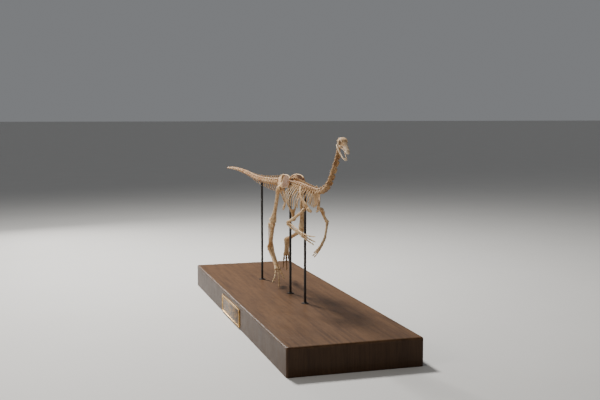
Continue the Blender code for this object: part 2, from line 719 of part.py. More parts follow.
def tail_bones():
    """The tail in three lengths, with neural spines, side processes and chevrons."""
    controls = [up(p) for p in TAIL_CURVE]
    path = smooth_curve(controls, 2 * CAUDAL_COUNT + 1)
    lengths = []
    for name, first, last in (("tail_root", 0, 8), ("tail_middle", 8, 19), ("tail_tip", 19, CAUDAL_COUNT)):
        part = path[2 * first : 2 * last + 1 : 2]
        part[0] = part[0] + tangent(path, 2 * first) * GAP
        part[-1] = part[-1] - tangent(path, 2 * last) * GAP
        radii = []
        for i in range(len(part)):
            s = (first + i) / float(CAUDAL_COUNT)
            radii.append(0.030 * (1.0 - s) ** 0.55 + 0.0035)
        start_way = Vector((-1, 0, 0)) if first == 0 else tangent(path, 2 * first)
        pieces = [backbone(part, radii, start_way, tangent(path, 2 * last), 6, 1.0)]
        for n in range(first, last):
            here, way = path[2 * n + 1], tangent(path, 2 * n + 1)
            span = (path[2 * n + 2] - path[2 * n]).length
            side, rise = across(way, Vector((0, -1, 0)))
            if rise.z < 0:
                rise = -rise
            s = n / float(CAUDAL_COUNT)
            body = 0.031 * (1.0 - s) ** 0.55 + 0.0040
            if n < 18:
                top = here + rise * (body + 0.006 + 0.046 * (1.0 - n / 18.0) ** 0.7) + way * 0.010
                pieces.append(fin(here, top, span * 0.60, span * 0.34, 0.009 * (1.0 - 0.5 * s), way))
            if n < 9:
                for hand in (-1.0, 1.0):
                    end = here + side * hand * (body + 0.042 * (1.0 - n / 11.0) * min(1.0, 0.5 + n)) + way * 0.010
                    pieces.append(fin(here, end, span * 0.52, span * 0.34, 0.007, way))
            if 1 <= n < 18 and n != 12:
                drop = 0.086 * (1.0 - n / 19.0) + 0.008
                base = here - rise * body * 0.4
                low = base - rise * (body * 0.6 + drop) + way * drop * 0.36
                pieces.append(fin(base, low, 0.021, 0.012 + 0.008 * s, 0.0055, way))
        lengths.append(combine(name, pieces))
    return lengths


# ================================================================ skull
def head_point(x, y, z, opened=0.0):
    """A point of the head: x forward from the back of the skull, y to its left, z up."""
    pitch = SKULL_PITCH - opened
    turn = Vector((math.cos(pitch), 0.0, math.sin(pitch)))
    rise = Vector((-math.sin(pitch), 0.0, math.cos(pitch)))
    return up(SKULL_BACK) + turn * x + Vector((0, y, 0)) + rise * z


def head_axes(opened=0.0):
    pitch = SKULL_PITCH - opened
    return Vector((math.cos(pitch), 0, math.sin(pitch))), Vector((-math.sin(pitch), 0, math.cos(pitch)))


def skull():
    """Skull with open eye sockets, side windows, nostrils and a hollow under the palate."""
    fore, rise = head_axes()
    # rows: distance forward, half width, lower edge, upper edge
    rows = [
        (0.002, 0.018, -0.008, 0.022),
        (0.018, 0.034, -0.030, 0.038),
        (0.044, 0.040, -0.044, 0.046),
        (0.080, 0.041, -0.044, 0.051),
        (0.104, 0.040, -0.042, 0.046),
        (0.126, 0.031, -0.041, 0.034),
        (0.160, 0.024, -0.040, 0.018),
        (0.200, 0.021, -0.040, 0.003),
        (0.236, 0.018, -0.042, -0.010),
        (SKULL_LENGTH, 0.008, -0.042, -0.024),
    ]
    stations = []
    for x, wide, low, high in rows:
        stations.append((head_point(x, 0, (low + high) * 0.5), Vector((0, wide, 0)), rise * (high - low) * 0.5))
    body = combine("skull", [loft(stations, 12)])
    cutters = []

    def window(x, z, long_half, tall_half, reach=0.06, sides=10):
        place = head_point(x, 0, z)
        cutters.append(
            loft(
                [
                    (place - Vector((0, reach, 0)), fore * long_half, rise * tall_half),
                    (place + Vector((0, reach, 0)), fore * long_half, rise * tall_half),
                ],
                sides,
            )
        )

    window(0.086, 0.012, 0.025, 0.024)
    window(0.136, -0.014, 0.014, 0.010, sides=8)
    window(0.040, 0.000, 0.011, 0.019, sides=8)
    window(0.196, -0.020, 0.012, 0.0045, sides=8)
    hollow = [
        (head_point(0.020, 0, -0.056), Vector((0, 0.022, 0)), rise * 0.034),
        (head_point(0.070, 0, -0.056), Vector((0, 0.031, 0)), rise * 0.040),
        (head_point(0.130, 0, -0.056), Vector((0, 0.021, 0)), rise * 0.032),
        (head_point(0.220, 0, -0.056), Vector((0, 0.007, 0)), rise * 0.021),
    ]
    cutters.append(loft(hollow, 8))
    body = subtract(body, cutters)
    return body


def jaw():
    """Lower jaw: both branches meeting at a toothless beak."""
    fore, rise = head_axes(JAW_OPEN)
    path = []
    sizes = []
    rows = [
        (0.004, 0.031, -0.052, 0.0045, 0.008),
        (0.030, 0.032, -0.050, 0.0050, 0.013),
        (0.075, 0.029, -0.054, 0.0045, 0.014),
        (0.125, 0.022, -0.056, 0.0040, 0.010),
        (0.180, 0.016, -0.056, 0.0040, 0.008),
        (0.208, 0.012, -0.053, 0.0045, 0.006),
    ]
    pivot = head_point(0.012, 0, -0.044)
    for x, y, z, thick, tall in rows:
        path.append((x, y, z, thick, tall))
    branches = []
    for hand in (-1.0, 1.0):
        stations = []
        for x, y, z, thick, tall in path:
            centre = pivot + fore * (x - 0.012) + Vector((0, hand * y, 0)) + rise * (z + 0.044)
            stations.append((centre, Vector((0, thick, 0)), rise * tall))
        branches.append(loft(stations, 8))
    tip = pivot + fore * (0.196 - 0.012) + rise * (-0.056 + 0.044)
    end = pivot + fore * (0.226 - 0.012) + rise * (-0.050 + 0.044)
    beak = loft([(tip, Vector((0, 0.016, 0)), rise * 0.004), (tip.lerp(end, 0.6), Vector((0, 0.0145, 0)), rise * 0.0055), (end, Vector((0, 0.006, 0)), rise * 0.003)], 8)
    return combine("jaw", branches + [beak])


# ================================================================ stand
def board():
    bm = bmesh.new()
    size = Matrix.Diagonal((BOARD_LENGTH, BOARD_WIDTH, BOARD_HEIGHT, 1.0))
    bmesh.ops.create_cube(bm, size=1.0, matrix=Matrix.Translation((0, 0, BOARD_HEIGHT * 0.5)) @ size)
    edges = [e for e in bm.edges if not all(v.co.z < 0.01 for v in e.verts)]
    bmesh.ops.bevel(bm, geom=edges, offset=BOARD_BEVEL, segments=3, profile=0.5, affect="EDGES", material=-1)
    return combine("board", [bm])


def rods():
    parts = []
    for name, (x, y) in ROD_FEET.items():
        low = Vector((x, y, BOARD_HEIGHT + GAP))
        high = up((x, y, ROD_TOPS[name]))
        flange = bmesh.new()
        middle = low + Vector((0, 0, FLANGE_HEIGHT * 0.5))
        bmesh.ops.create_cone(
            flange,
            cap_ends=True,
            segments=12,
            radius1=FLANGE_RADIUS,
            radius2=FLANGE_RADIUS * 0.80,
            depth=FLANGE_HEIGHT,
            matrix=Matrix.Translation(middle),
        )
        bore = bmesh.new()
        bmesh.ops.create_cone(
            bore,
            cap_ends=True,
            segments=12,
            radius1=ROD_RADIUS + GAP * 3,
            radius2=ROD_RADIUS + GAP * 3,
            depth=FLANGE_HEIGHT * 3,
            matrix=Matrix.Translation(middle),
        )
        parts.append(combine(f"flange_{name}", [flange, bore], "DIFFERENCE"))
        shaft = bmesh.new()
        bmesh.ops.create_cone(
            shaft,
            cap_ends=True,
            segments=12,
            radius1=ROD_RADIUS,
            radius2=ROD_RADIUS,
            depth=(high - low).length,
            matrix=Matrix.Translation(low.lerp(high, 0.5)),
        )
        parts.append(combine(f"rod_{name}", [shaft]))
    return parts


def plaque():
    """A bare brass plate with a raised rim, on the board's right side."""
    y = -BOARD_WIDTH * 0.5 - GAP - PLAQUE_THICK * 0.5
    z = BOARD_HEIGHT - PLAQUE_DROP - PLAQUE_HEIGHT * 0.5
    bm = bmesh.new()
    size = Matrix.Diagonal((PLAQUE_LENGTH, PLAQUE_THICK, PLAQUE_HEIGHT, 1.0))
    bmesh.ops.create_cube(bm, size=1.0, matrix=Matrix.Translation((PLAQUE_CENTRE_X, y, z)) @ size)
    face = min(bm.faces, key=lambda f: f.calc_center_median().y)
    bmesh.ops.inset_region(bm, faces=[face], thickness=0.012, depth=0.0)
    bmesh.ops.inset_region(bm, faces=[face], thickness=0.003, depth=-0.004)
    return combine("plaque", [bm])


# ================================================================ build
def main():
    clear_scene()
    bone = material("bone", (0.70, 0.58, 0.42), 0.55)
    pale = material("bone_skull", (0.74, 0.64, 0.50), 0.52)
    walnut = material("walnut", (0.16, 0.09, 0.055), 0.40)
    steel = material("black_steel", (0.02, 0.02, 0.02), 0.45, 1.0)
    brass = material("brass", (0.78, 0.58, 0.28), 0.25, 1.0)
    parts = []
    for side in SIDES:
        parts += [(b, bone) for b in leg(side) + arm(side)]
        parts.append((shoulder(side), bone))
    parts += [(b, bone) for b in neck_bones() + rib_cage() + tail_bones()]
    parts += [(hip_bones(), bone), (pubes(), bone), (ischia(), bone)]
    parts += [(skull(), pale), (jaw(), pale)]
    parts.append((board(), walnut))
    parts += [(r, steel) for r in rods()]
    parts.append((plaque(), brass))
    mount = bpy.data.objects.new("mount", None)
    bpy.context.scene.collection.objects.link(mount)
    for obj, mat in parts:
        seat(obj, mat, mount)


main()
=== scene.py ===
"""Looks of the mounted skeleton of an ostrich-like dinosaur, Struthiomimus altus, on a walnut board.

Metres, +Z up. The animal faces +X and its left is +Y. Skeleton heights are given above the board top.
"""
import math

import bmesh
import bpy
import numpy as np
from mathutils import Matrix, Vector


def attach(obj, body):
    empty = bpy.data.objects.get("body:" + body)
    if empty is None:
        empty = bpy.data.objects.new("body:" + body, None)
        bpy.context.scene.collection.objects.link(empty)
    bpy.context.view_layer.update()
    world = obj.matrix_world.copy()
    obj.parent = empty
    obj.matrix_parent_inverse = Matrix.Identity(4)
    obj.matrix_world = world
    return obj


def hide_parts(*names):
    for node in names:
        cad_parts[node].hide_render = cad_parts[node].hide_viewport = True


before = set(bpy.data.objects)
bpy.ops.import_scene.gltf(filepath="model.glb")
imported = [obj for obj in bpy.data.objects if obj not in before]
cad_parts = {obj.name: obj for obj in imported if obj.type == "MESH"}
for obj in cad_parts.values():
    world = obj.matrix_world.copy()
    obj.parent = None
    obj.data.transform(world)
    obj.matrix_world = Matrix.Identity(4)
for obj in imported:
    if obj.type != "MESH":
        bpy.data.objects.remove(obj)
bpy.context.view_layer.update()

AHEAD, LEFTWARD, UPWARD = Vector((1, 0, 0)), Vector((0, 1, 0)), Vector((0, 0, 1))
HANDS = (-1.0, 1.0)  # to the animal's right and to its left

# ---------------------------------------------------------------- board and stand
BOARD_LENGTH = 4.42
BOARD_WIDTH = 1.30
BOARD_HEIGHT = 0.273
BOARD_BEVEL = 0.020
GAP = 0.0003
ROD_RADIUS = 0.0130
FLANGE_RADIUS = 0.040
FLANGE_HEIGHT = 0.0140
PLAQUE_CENTRE_X = -0.066
PLAQUE_LENGTH = 0.890
PLAQUE_HEIGHT = 0.195
PLAQUE_DROP = 0.058
PLAQUE_THICK = 0.010

# ---------------------------------------------------------------- spine
TRUNK_Y = 0.030
SACRUM_FRONT_X = 0.110
DORSAL_FRONT_X = 0.930
SPINE_RISE = 0.075
HIP_SEAM = 1.163
PUBIS_X = 0.014
ISCHIUM_X = -0.122
CAUDAL_COUNT = 34
DORSAL_COUNT = 13
CERVICAL_COUNT = 10
SACRAL_COUNT = 6
TRUNK_CURVE = [
    (-0.240, 0.030, 1.243),
    (-0.070, 0.030, 1.250),
    (0.110, 0.030, 1.252),
    (0.380, 0.030, 1.250),
    (0.650, 0.030, 1.238),
    (0.930, 0.030, 1.232),
]
NECK_CURVE = [
    (0.930, 0.030, 1.232),
    (1.060, 0.032, 1.250),
    (1.200, 0.035, 1.291),
    (1.298, 0.037, 1.344),
    (1.368, 0.038, 1.408),
    (1.424, 0.040, 1.474),
    (1.484, 0.041, 1.544),
    (1.531, 0.042, 1.606),
    (1.567, 0.043, 1.672),
    (1.590, 0.044, 1.7575),
]
TAIL_CURVE = [
    (-0.240, 0.030, 1.243),
    (-0.382, 0.012, 1.232),
    (-0.684, -0.030, 1.222),
    (-0.949, -0.067, 1.226),
    (-1.169, -0.097, 1.242),
    (-1.516, -0.145, 1.286),
    (-1.883, -0.194, 1.309),
    (-2.174, -0.233, 1.304),
]

# ---------------------------------------------------------------- joints, above the board top
SIDES = {"right": -1.0, "left": 1.0}
HIP = {"right": (-0.060, -0.085, 1.195), "left": (-0.060, 0.145, 1.195)}
KNEE = {"right": (-0.285, -0.110, 0.775), "left": (0.040, 0.150, 0.736)}
ANKLE = {"right": (-0.668, -0.038, 0.438), "left": (-0.447, 0.110, 0.559)}
TOE_ROOT = {"right": (-0.402, -0.016, 0.206), "left": (-0.718, 0.176, 0.330)}
TOE_TIPS = {
    "right": {
        "inner": (-0.352, 0.050, 0.104),
        "middle": (-0.352, -0.018, 0.004),
        "outer": (-0.360, -0.097, 0.064),
    },
    "left": {
        "inner": (-0.780, 0.149, 0.156),
        "middle": (-0.780, 0.199, 0.123),
        "outer": (-0.790, 0.262, 0.112),
    },
}
SHOULDER = {"right": (0.845, -0.050, 1.050), "left": (0.822, 0.096, 1.052)}
SCAPULA_END = {"right": (0.640, -0.058, 1.262), "left": (0.640, 0.118, 1.262)}
CORACOID_END = {"right": (0.862, -0.006, 1.022), "left": (0.852, 0.062, 1.022)}
ELBOW = {"right": (0.585, -0.179, 0.885), "left": (0.611, 0.252, 0.878)}
WRIST = {"right": (0.804, -0.129, 0.816), "left": (0.777, 0.172, 0.732)}
HAND_END = {"right": (0.908, -0.108, 0.790), "left": (0.850, 0.111, 0.671)}
FINGER_TIPS = {
    "right": {
        "first": (1.107, -0.047, 0.712),
        "second": (1.112, -0.036, 0.745),
        "third": (1.120, -0.038, 0.800),
    },
    "left": {
        "first": (0.968, -0.008, 0.566),
        "second": (1.003, -0.036, 0.588),
        "third": (1.030, -0.034, 0.622),
    },
}
ROD_FEET = {"tail": (-0.949, -0.067), "hip": (-0.025, 0.028), "chest": (0.528, 0.032)}
ROD_TOPS = {"tail": 1.1955, "hip": 1.2120, "chest": 1.2040}

# ---------------------------------------------------------------- skull
SKULL_BACK = (1.612, 0.044, 1.770)
SKULL_PITCH = math.radians(-19.0)
JAW_OPEN = math.radians(18.5)
SKULL_LENGTH = 0.252


# ================================================================ shaping
def up(point):
    """A skeleton point, given above the board top, in world coordinates."""
    return Vector((point[0], point[1], point[2] + BOARD_HEIGHT))


def catmull(rows, i, t):
    """A smooth value between row i and the next one, column by column."""
    last = len(rows) - 1
    near = rows[max(i - 1, 0)], rows[i], rows[min(i + 1, last)], rows[min(i + 2, last)]
    out = []
    for p, q, r, s in zip(*near):
        curl = (2 * p - 5 * q + 4 * r - s) * t * t
        out.append(0.5 * (2 * q + (r - p) * t + curl + (3 * q - p - 3 * r + s) * t ** 3))
    return out


def refine(rows, steps):
    """More rows on a smooth curve through the given ones."""
    out = [catmull(rows, i, k / steps) for i in range(len(rows) - 1) for k in range(steps)]
    return out + [list(rows[-1])]


def smooth_curve(points, count):
    """Evenly spaced points along a Catmull-Rom curve through the control points."""
    points = [Vector(p) for p in points]
    ends = [2 * points[0] - points[1]] + points + [2 * points[-1] - points[-2]]
    samples = 24
    fine = [Vector(catmull(ends, i, k / samples)) for i in range(1, len(ends) - 2) for k in range(samples)]
    fine.append(points[-1].copy())
    run = [0.0]
    for p, q in zip(fine, fine[1:]):
        run.append(run[-1] + (q - p).length)
    out = []
    j = 0
    for i in range(count):
        want = run[-1] * i / (count - 1)
        while j < len(run) - 2 and run[j + 1] < want:
            j += 1
        span = max(run[j + 1] - run[j], 1e-9)
        out.append(fine[j].lerp(fine[j + 1], (want - run[j]) / span))
    return out


def tangent(path, i):
    return (path[min(i + 1, len(path) - 1)] - path[max(i - 1, 0)]).normalized()


def square_to(way, hint):
    """The hint turned square to a way."""
    return (hint - way * way.dot(hint)).normalized()


def across(direction, side_hint):
    """Side and up vectors square to a direction, the side one near the hint."""
    side = square_to(direction, side_hint)
    return side, side.cross(direction).normalized()


def axes_at(centre, side, rise, along):
    """The matrix that puts the unit axes on three half axes at a centre."""
    return Matrix([(side[k], rise[k], along[k], centre[k]) for k in range(3)] + [(0.0, 0.0, 0.0, 1.0)])


def loft(stations, sides=16, square=0.0):
    """A closed skin over rings. Each station is (centre, half side vector, half up vector).

    square bulges the rings from ellipses (0) towards rounded boxes (0.5).
    """
    bm = bmesh.new()
    rings = []
    for centre, side, rise in stations:
        verts = bmesh.ops.create_circle(bm, cap_ends=False, radius=1.0, segments=sides)["verts"]
        for vert in verts if square else ():
            x, y = vert.co.x, vert.co.y
            vert.co.x = math.copysign(abs(x) ** (1.0 - square), x)
            vert.co.y = math.copysign(abs(y) ** (1.0 - square), y)
        place_at = axes_at(centre, side, rise, side.cross(rise).normalized())
        bmesh.ops.transform(bm, verts=verts, matrix=place_at)
        rings.append(list({edge for vert in verts for edge in vert.link_edges}))
    bmesh.ops.contextual_create(bm, geom=rings[0])
    bmesh.ops.contextual_create(bm, geom=rings[-1])
    for first, second in zip(rings, rings[1:]):
        bmesh.ops.bridge_loops(bm, edges=first + second)
    bmesh.ops.recalc_face_normals(bm, faces=bm.faces)
    return bm


def tube(path, radii, side_hint, sides=12):
    """A rounded bar along a path. radii holds one radius, or (side, up) pair, per point, or is one number."""
    stations = []
    for i, centre in enumerate(path):
        side, rise = across(tangent(path, i), side_hint)
        girth = radii[i] if isinstance(radii, (tuple, list)) else radii
        wide, tall = girth if isinstance(girth, (tuple, list)) else (girth, girth)
        stations.append((centre, side * wide, rise * tall))
    return loft(stations, sides)


def knob(centre, side, rise, along):
    """A rounded lump with the three given half axes."""
    bm = bmesh.new()
    bmesh.ops.create_icosphere(bm, subdivisions=3, radius=1.0, matrix=axes_at(centre, side, rise, along))
    bmesh.ops.recalc_face_normals(bm, faces=bm.faces)
    return bm


def ball(centre, radius):
    return knob(centre, AHEAD * radius, LEFTWARD * radius, UPWARD * radius)


def gather(name, shells):
    """One mesh object from several shells."""
    whole = bmesh.new()
    for shell in shells:
        part = bpy.data.meshes.new("shell")
        shell.to_mesh(part)
        shell.free()
        whole.from_mesh(part)
        bpy.data.meshes.remove(part)
    mesh = bpy.data.meshes.new(name)
    whole.to_mesh(mesh)
    whole.free()
    obj = bpy.data.objects.new(name, mesh)
    bpy.context.scene.collection.objects.link(obj)
    return obj


def modifier(obj, name, kind, **settings):
    mod = obj.modifiers.new(name, kind)
    for label, value in settings.items():
        setattr(mod, label, value)


def settle(obj):
    """Applies what the modifiers make, and leaves none."""
    bpy.context.view_layer.update()
    graph = bpy.context.evaluated_depsgraph_get()
    made = bpy.data.meshes.new_from_object(obj.evaluated_get(graph))
    obj.modifiers.clear()
    old = obj.data
    obj.data = made
    bpy.data.meshes.remove(old)
    return obj


def carve(obj, cutters):
    """Takes the cutters' shapes out of a solid."""
    tool = gather(obj.name + "_tool", cutters)
    modifier(obj, "carve", "BOOLEAN", object=tool, operation="DIFFERENCE", solver="EXACT", use_self=True)
    settle(obj)
    bpy.data.objects.remove(tool, do_unlink=True)
    return obj


def numbers(items, label, kind, width):
    """One property of every item of a mesh, as an array with a row for each item."""
    out = np.empty(len(items) * width, kind)
    items.foreach_get(label, out)
    return out.reshape(-1, width)


def drop_crumbs(obj, fewest=80):
    """Deletes the loose crumbs, of under so many points, that remeshing can leave."""
    mesh = obj.data
    one, two = numbers(mesh.edges, "vertices", np.int32, 2).T
    label = np.arange(len(mesh.vertices))
    while True:
        lower = np.minimum(label[one], label[two])
        after = label.copy()
        np.minimum.at(after, one, lower)
        np.minimum.at(after, two, lower)
        after = after[after]
        if (after == label).all():
            break
        label = after
    loose = np.flatnonzero(np.bincount(label)[label] < fewest)
    if len(loose):
        bm = bmesh.new()
        bm.from_mesh(mesh)
        bm.verts.ensure_lookup_table()
        bmesh.ops.delete(bm, geom=[bm.verts[k] for k in loose], context="VERTS")
        bm.to_mesh(mesh)
        bm.free()
    return obj


def fuse(obj, voxel, rounds):
    """Makes one even skin of shells that grow into each other."""
    modifier(obj, "skin", "REMESH", mode="VOXEL", voxel_size=voxel)
    modifier(obj, "even", "SMOOTH", factor=0.5, iterations=rounds)
    return drop_crumbs(settle(obj))


def relief_of(mesh, rounds):
    """How far each point stands out from the smoothed surface, in metres; hollows are below zero."""
    count = len(mesh.vertices)
    here = numbers(mesh.vertices, "co", np.float32, 3).astype(np.float64)
    normal = numbers(mesh.vertex_normals, "vector", np.float32, 3)
    ends = numbers(mesh.edges, "vertices", np.int32, 2)
    one, two = ends.T
    degree = np.maximum(np.bincount(ends.ravel(), minlength=count), 1)[:, None]
    soft = here.copy()
    own = 0.35  # a point's share in its own new place; its neighbours have the rest
    for _ in range(rounds):
        total = np.empty_like(soft)
        for k in range(3):
            total[:, k] = np.bincount(one, soft[two, k], count) + np.bincount(two, soft[one, k], count)
        soft = own * soft + (1.0 - own) * total / degree
    return ((here - soft) * normal).sum(1)


def bone_texture(name, size, depth):
    """A cloudy unevenness for Displace."""
    cloud = bpy.data.textures.get(name) or bpy.data.textures.new(name, "CLOUDS")
    cloud.noise_scale = size
    cloud.noise_depth = depth
    return cloud


SWELLING, PITTING = ("swelling", 0.045, 1), ("pitting", 0.010, 2)  # cloud name, size in metres and depth
RELIEF_REACH = 0.040  # how wide a form still counts as standing proud
RELIEF_SPAN = 0.006  # from the deepest hollow to the proudest crest of the colour mask


def finish_bone(
    name, shells, mat, voxel, nodes=None, slot="bone",
    rounds=2, swell=0.0016, pit=0.0007, cutters=(), darker=None,
):
    """A bone from shells: fused, made a little uneven, given its colour mask, and put on the mount.

    It replaces the node of its own name, or the given ones. The shells are fused on a grid of voxel
    metres and evened out in so many rounds. swell and pit are the heights of the unevenness. darker is a
    stretch along the animal where the colour mask is lowered, so that the bone there is painted darker as
    shade: (from x, to x, amount).
    """
    obj = gather(name + "_bone", shells)
    if cutters:
        fuse(obj, voxel, 0)
        carve(obj, cutters)
    fuse(obj, voxel, rounds)
    for cloud, height in ((SWELLING, swell), (PITTING, pit)):
        modifier(
            obj, cloud[0], "DISPLACE", texture=bone_texture(*cloud), texture_coords="LOCAL",
            direction="NORMAL", mid_level=0.5, strength=height,
        )
    mesh = settle(obj).data
    relief = relief_of(mesh, max(6, int(RELIEF_REACH / voxel)))
    # painted shade: along the given stretch the mask is lowered, which paints the bone darker and browner
    if darker:
        start, end, amount = darker
        along = np.array([vert.co.x for vert in mesh.vertices])
        relief = relief - amount * np.clip((along - start) / (end - start), 0.0, 1.0)
    mask = mesh.attributes.new("relief", "FLOAT", "POINT")
    mask.data.foreach_set("value", np.clip(0.5 + relief / RELIEF_SPAN, 0.0, 1.0).astype(np.float32))
    mesh.shade_smooth()
    place(obj, mat, nodes or [name])


def place(obj, mat, nodes):
    """Puts a finished piece on the mount, with its material, in place of its nodes."""
    obj.data.materials.clear()
    obj.data.materials.append(mat)
    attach(obj, "root")
    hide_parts(*nodes)


# ================================================================ finishes
def colour(red, green, blue):
    """An 8-bit screen colour as the shader's own linear one."""
    out = []
    for value in (red, green, blue):
        share = value / 255.0
        out.append(share / 12.92 if share <= 0.04045 else ((share + 0.055) / 1.055) ** 2.4)
    return (*out, 1.0)


class Wiring:
    """One node tree, with a short call for each kind of node.

    node and parts give all of the node's outputs, and the others the one that carries the result.
    """

    def __init__(self, tree):
        self.tree = tree

    def feed(self, socket, value):
        """Links an output to a socket, or sets the socket to a number or colour."""
        if hasattr(value, "is_output"):
            self.tree.links.new(value, socket)
        else:
            socket.default_value = value

    def node(self, kind, inputs, **settings):
        made = self.tree.nodes.new("ShaderNode" + kind)
        for label, value in settings.items():
            setattr(made, label, value)
        for label, value in inputs.items():
            self.feed(made.inputs[label], value)
        return made.outputs

    def maths(self, kind, a, b=0.0, clamp=False):
        return self.node("Math", {0: a, 1: b}, operation=kind, use_clamp=clamp)[0]

    def add(self, a, b, clamp=False):
        return self.maths("ADD", a, b, clamp)

    def less(self, a, b, clamp=False):
        return self.maths("SUBTRACT", a, b, clamp)

    def times(self, a, b, clamp=False):
        return self.maths("MULTIPLY", a, b, clamp)

    def blend(self, a, share_a, b, share_b):
        """Two values, each times its share, added up."""
        return self.add(self.times(a, share_a), self.times(b, share_b))

    def ramp(self, value, low, high, start=0.0, end=1.0):
        """A soft step from start to end, as the value goes from low to high."""
        span = {"Value": value, "From Min": low, "From Max": high, "To Min": start, "To Max": end}
        return self.node("MapRange", span, interpolation_type="SMOOTHSTEP")["Result"]

    def mix(self, share, a, b, kind="MIX"):
        """Colour a, going over to colour b."""
        given = {0: share, 6: a, 7: b}
        return self.node("Mix", given, data_type="RGBA", blend_type=kind, clamp_factor=True)[2]

    def noise(self, where, scale, detail=4.0, rough=0.6, warp=0.0, out="Fac"):
        look = {"Vector": where, "Scale": scale, "Detail": detail, "Roughness": rough, "Distortion": warp}
        return self.node("TexNoise", look)[out]

    def stretched(self, where, scale):
        return self.node("Mapping", {"Vector": where, "Scale": scale})["Vector"]

    def parts(self, vector):
        return self.node("SeparateXYZ", {0: vector})


def new_group(name, *inputs):
    """A node group, its wiring, and its input and output sockets. inputs are (label, kind, value)."""
    group = bpy.data.node_groups.new(name, "ShaderNodeTree")
    for label, kind, value in (("Place", "Vector", None), *inputs):
        socket = group.interface.new_socket(label, in_out="INPUT", socket_type="NodeSocket" + kind)
        if value is not None:
            socket.default_value = value
    for label, kind in (("Colour", "Color"), ("Roughness", "Float"), ("Height", "Float")):
        group.interface.new_socket(label, in_out="OUTPUT", socket_type="NodeSocket" + kind)
    source, sink = group.nodes.new("NodeGroupInput"), group.nodes.new("NodeGroupOutput")
    return group, Wiring(group), source.outputs, sink.inputs


def aged_bone():
    """Old bone: bleached where it stands proud, blotched, pitted and finely cracked, and brown in its
    hollows, partly dirt and partly painted shade.
    """
    group, w, given, out = new_group(
        "aged_bone",
        ("Relief", "Float", 0.5),
        ("Tan", "Color", colour(204, 168, 126)),
        ("Pale", "Color", colour(228, 208, 176)),
        ("Dark", "Color", colour(104, 68, 40)),
        ("Stain", "Float", 1.0),
        ("Cracks", "Float", 1.0),
    )
    where, dark = given["Place"], given["Dark"]
    broad = w.noise(where, 5.5, 3.0, 0.55, 0.6)
    blotch = w.noise(where, 24.0, 5.0, 0.62, 1.2)
    fleck = w.noise(where, 95.0, 4.0, 0.60)
    grain = w.noise(where, 420.0, 3.0, 0.60)
    relief = w.add(given["Relief"], w.times(w.less(blotch, 0.5), 0.16))
    proud = w.ramp(relief, 0.53, 0.72)
    hollow_shade = w.ramp(relief, 0.49, 0.24)
    # pale and tan patches, then bleaching on what stands proud
    patch = w.ramp(w.blend(broad, 0.6, blotch, 0.5), 0.44, 0.68)
    base = w.mix(patch, given["Tan"], given["Pale"])
    base = w.mix(w.times(proud, 0.75), base, given["Pale"])
    # mineral staining in warm brown clouds, and the hollows darkened deep brown, partly dirt and partly
    # painted shade
    cloud = w.ramp(w.blend(blotch, 0.55, fleck, 0.45), 0.52, 0.40)
    base = w.mix(w.times(w.times(cloud, 0.38), given["Stain"]), base, dark)
    base = w.mix(w.times(w.times(hollow_shade, 0.88), given["Stain"], True), base, dark)
    # hairline cracks that come and go
    wave = w.noise(where, 18.0, 2.0, 0.5, out="Color")
    warped = w.node("VectorMath", {0: wave, 1: (0.05, 0.05, 0.05), 2: where}, operation="MULTIPLY_ADD")[0]
    crack = w.node("TexVoronoi", {"Vector": warped, "Scale": 13.0}, feature="DISTANCE_TO_EDGE")["Distance"]
    line = w.times(w.ramp(crack, 0.009, 0.002), w.ramp(w.noise(where, 7.0, 2.0), 0.53, 0.64))
    line = w.times(line, given["Cracks"])
    base = w.mix(w.times(line, 0.65), base, dark)
    pore = w.ramp(fleck, 0.34, 0.24)
    base = w.mix(w.times(pore, 0.55), base, dark)
    shade = w.ramp(grain, 0.30, 0.70, 0.90, 1.06)
    tint = w.node("CombineColor", {0: shade, 1: shade, 2: shade})[0]
    w.feed(out["Colour"], w.mix(1.0, base, tint, "MULTIPLY"))
    rough = w.less(w.add(w.times(blotch, 0.30), 0.40), w.times(proud, 0.08))
    w.feed(out["Roughness"], w.add(rough, w.times(hollow_shade, 0.12), True))
    height = w.less(w.blend(fleck, 0.5, grain, 0.22), w.times(line, 0.5))
    w.feed(out["Height"], w.less(height, w.times(pore, 0.35)))
    return group


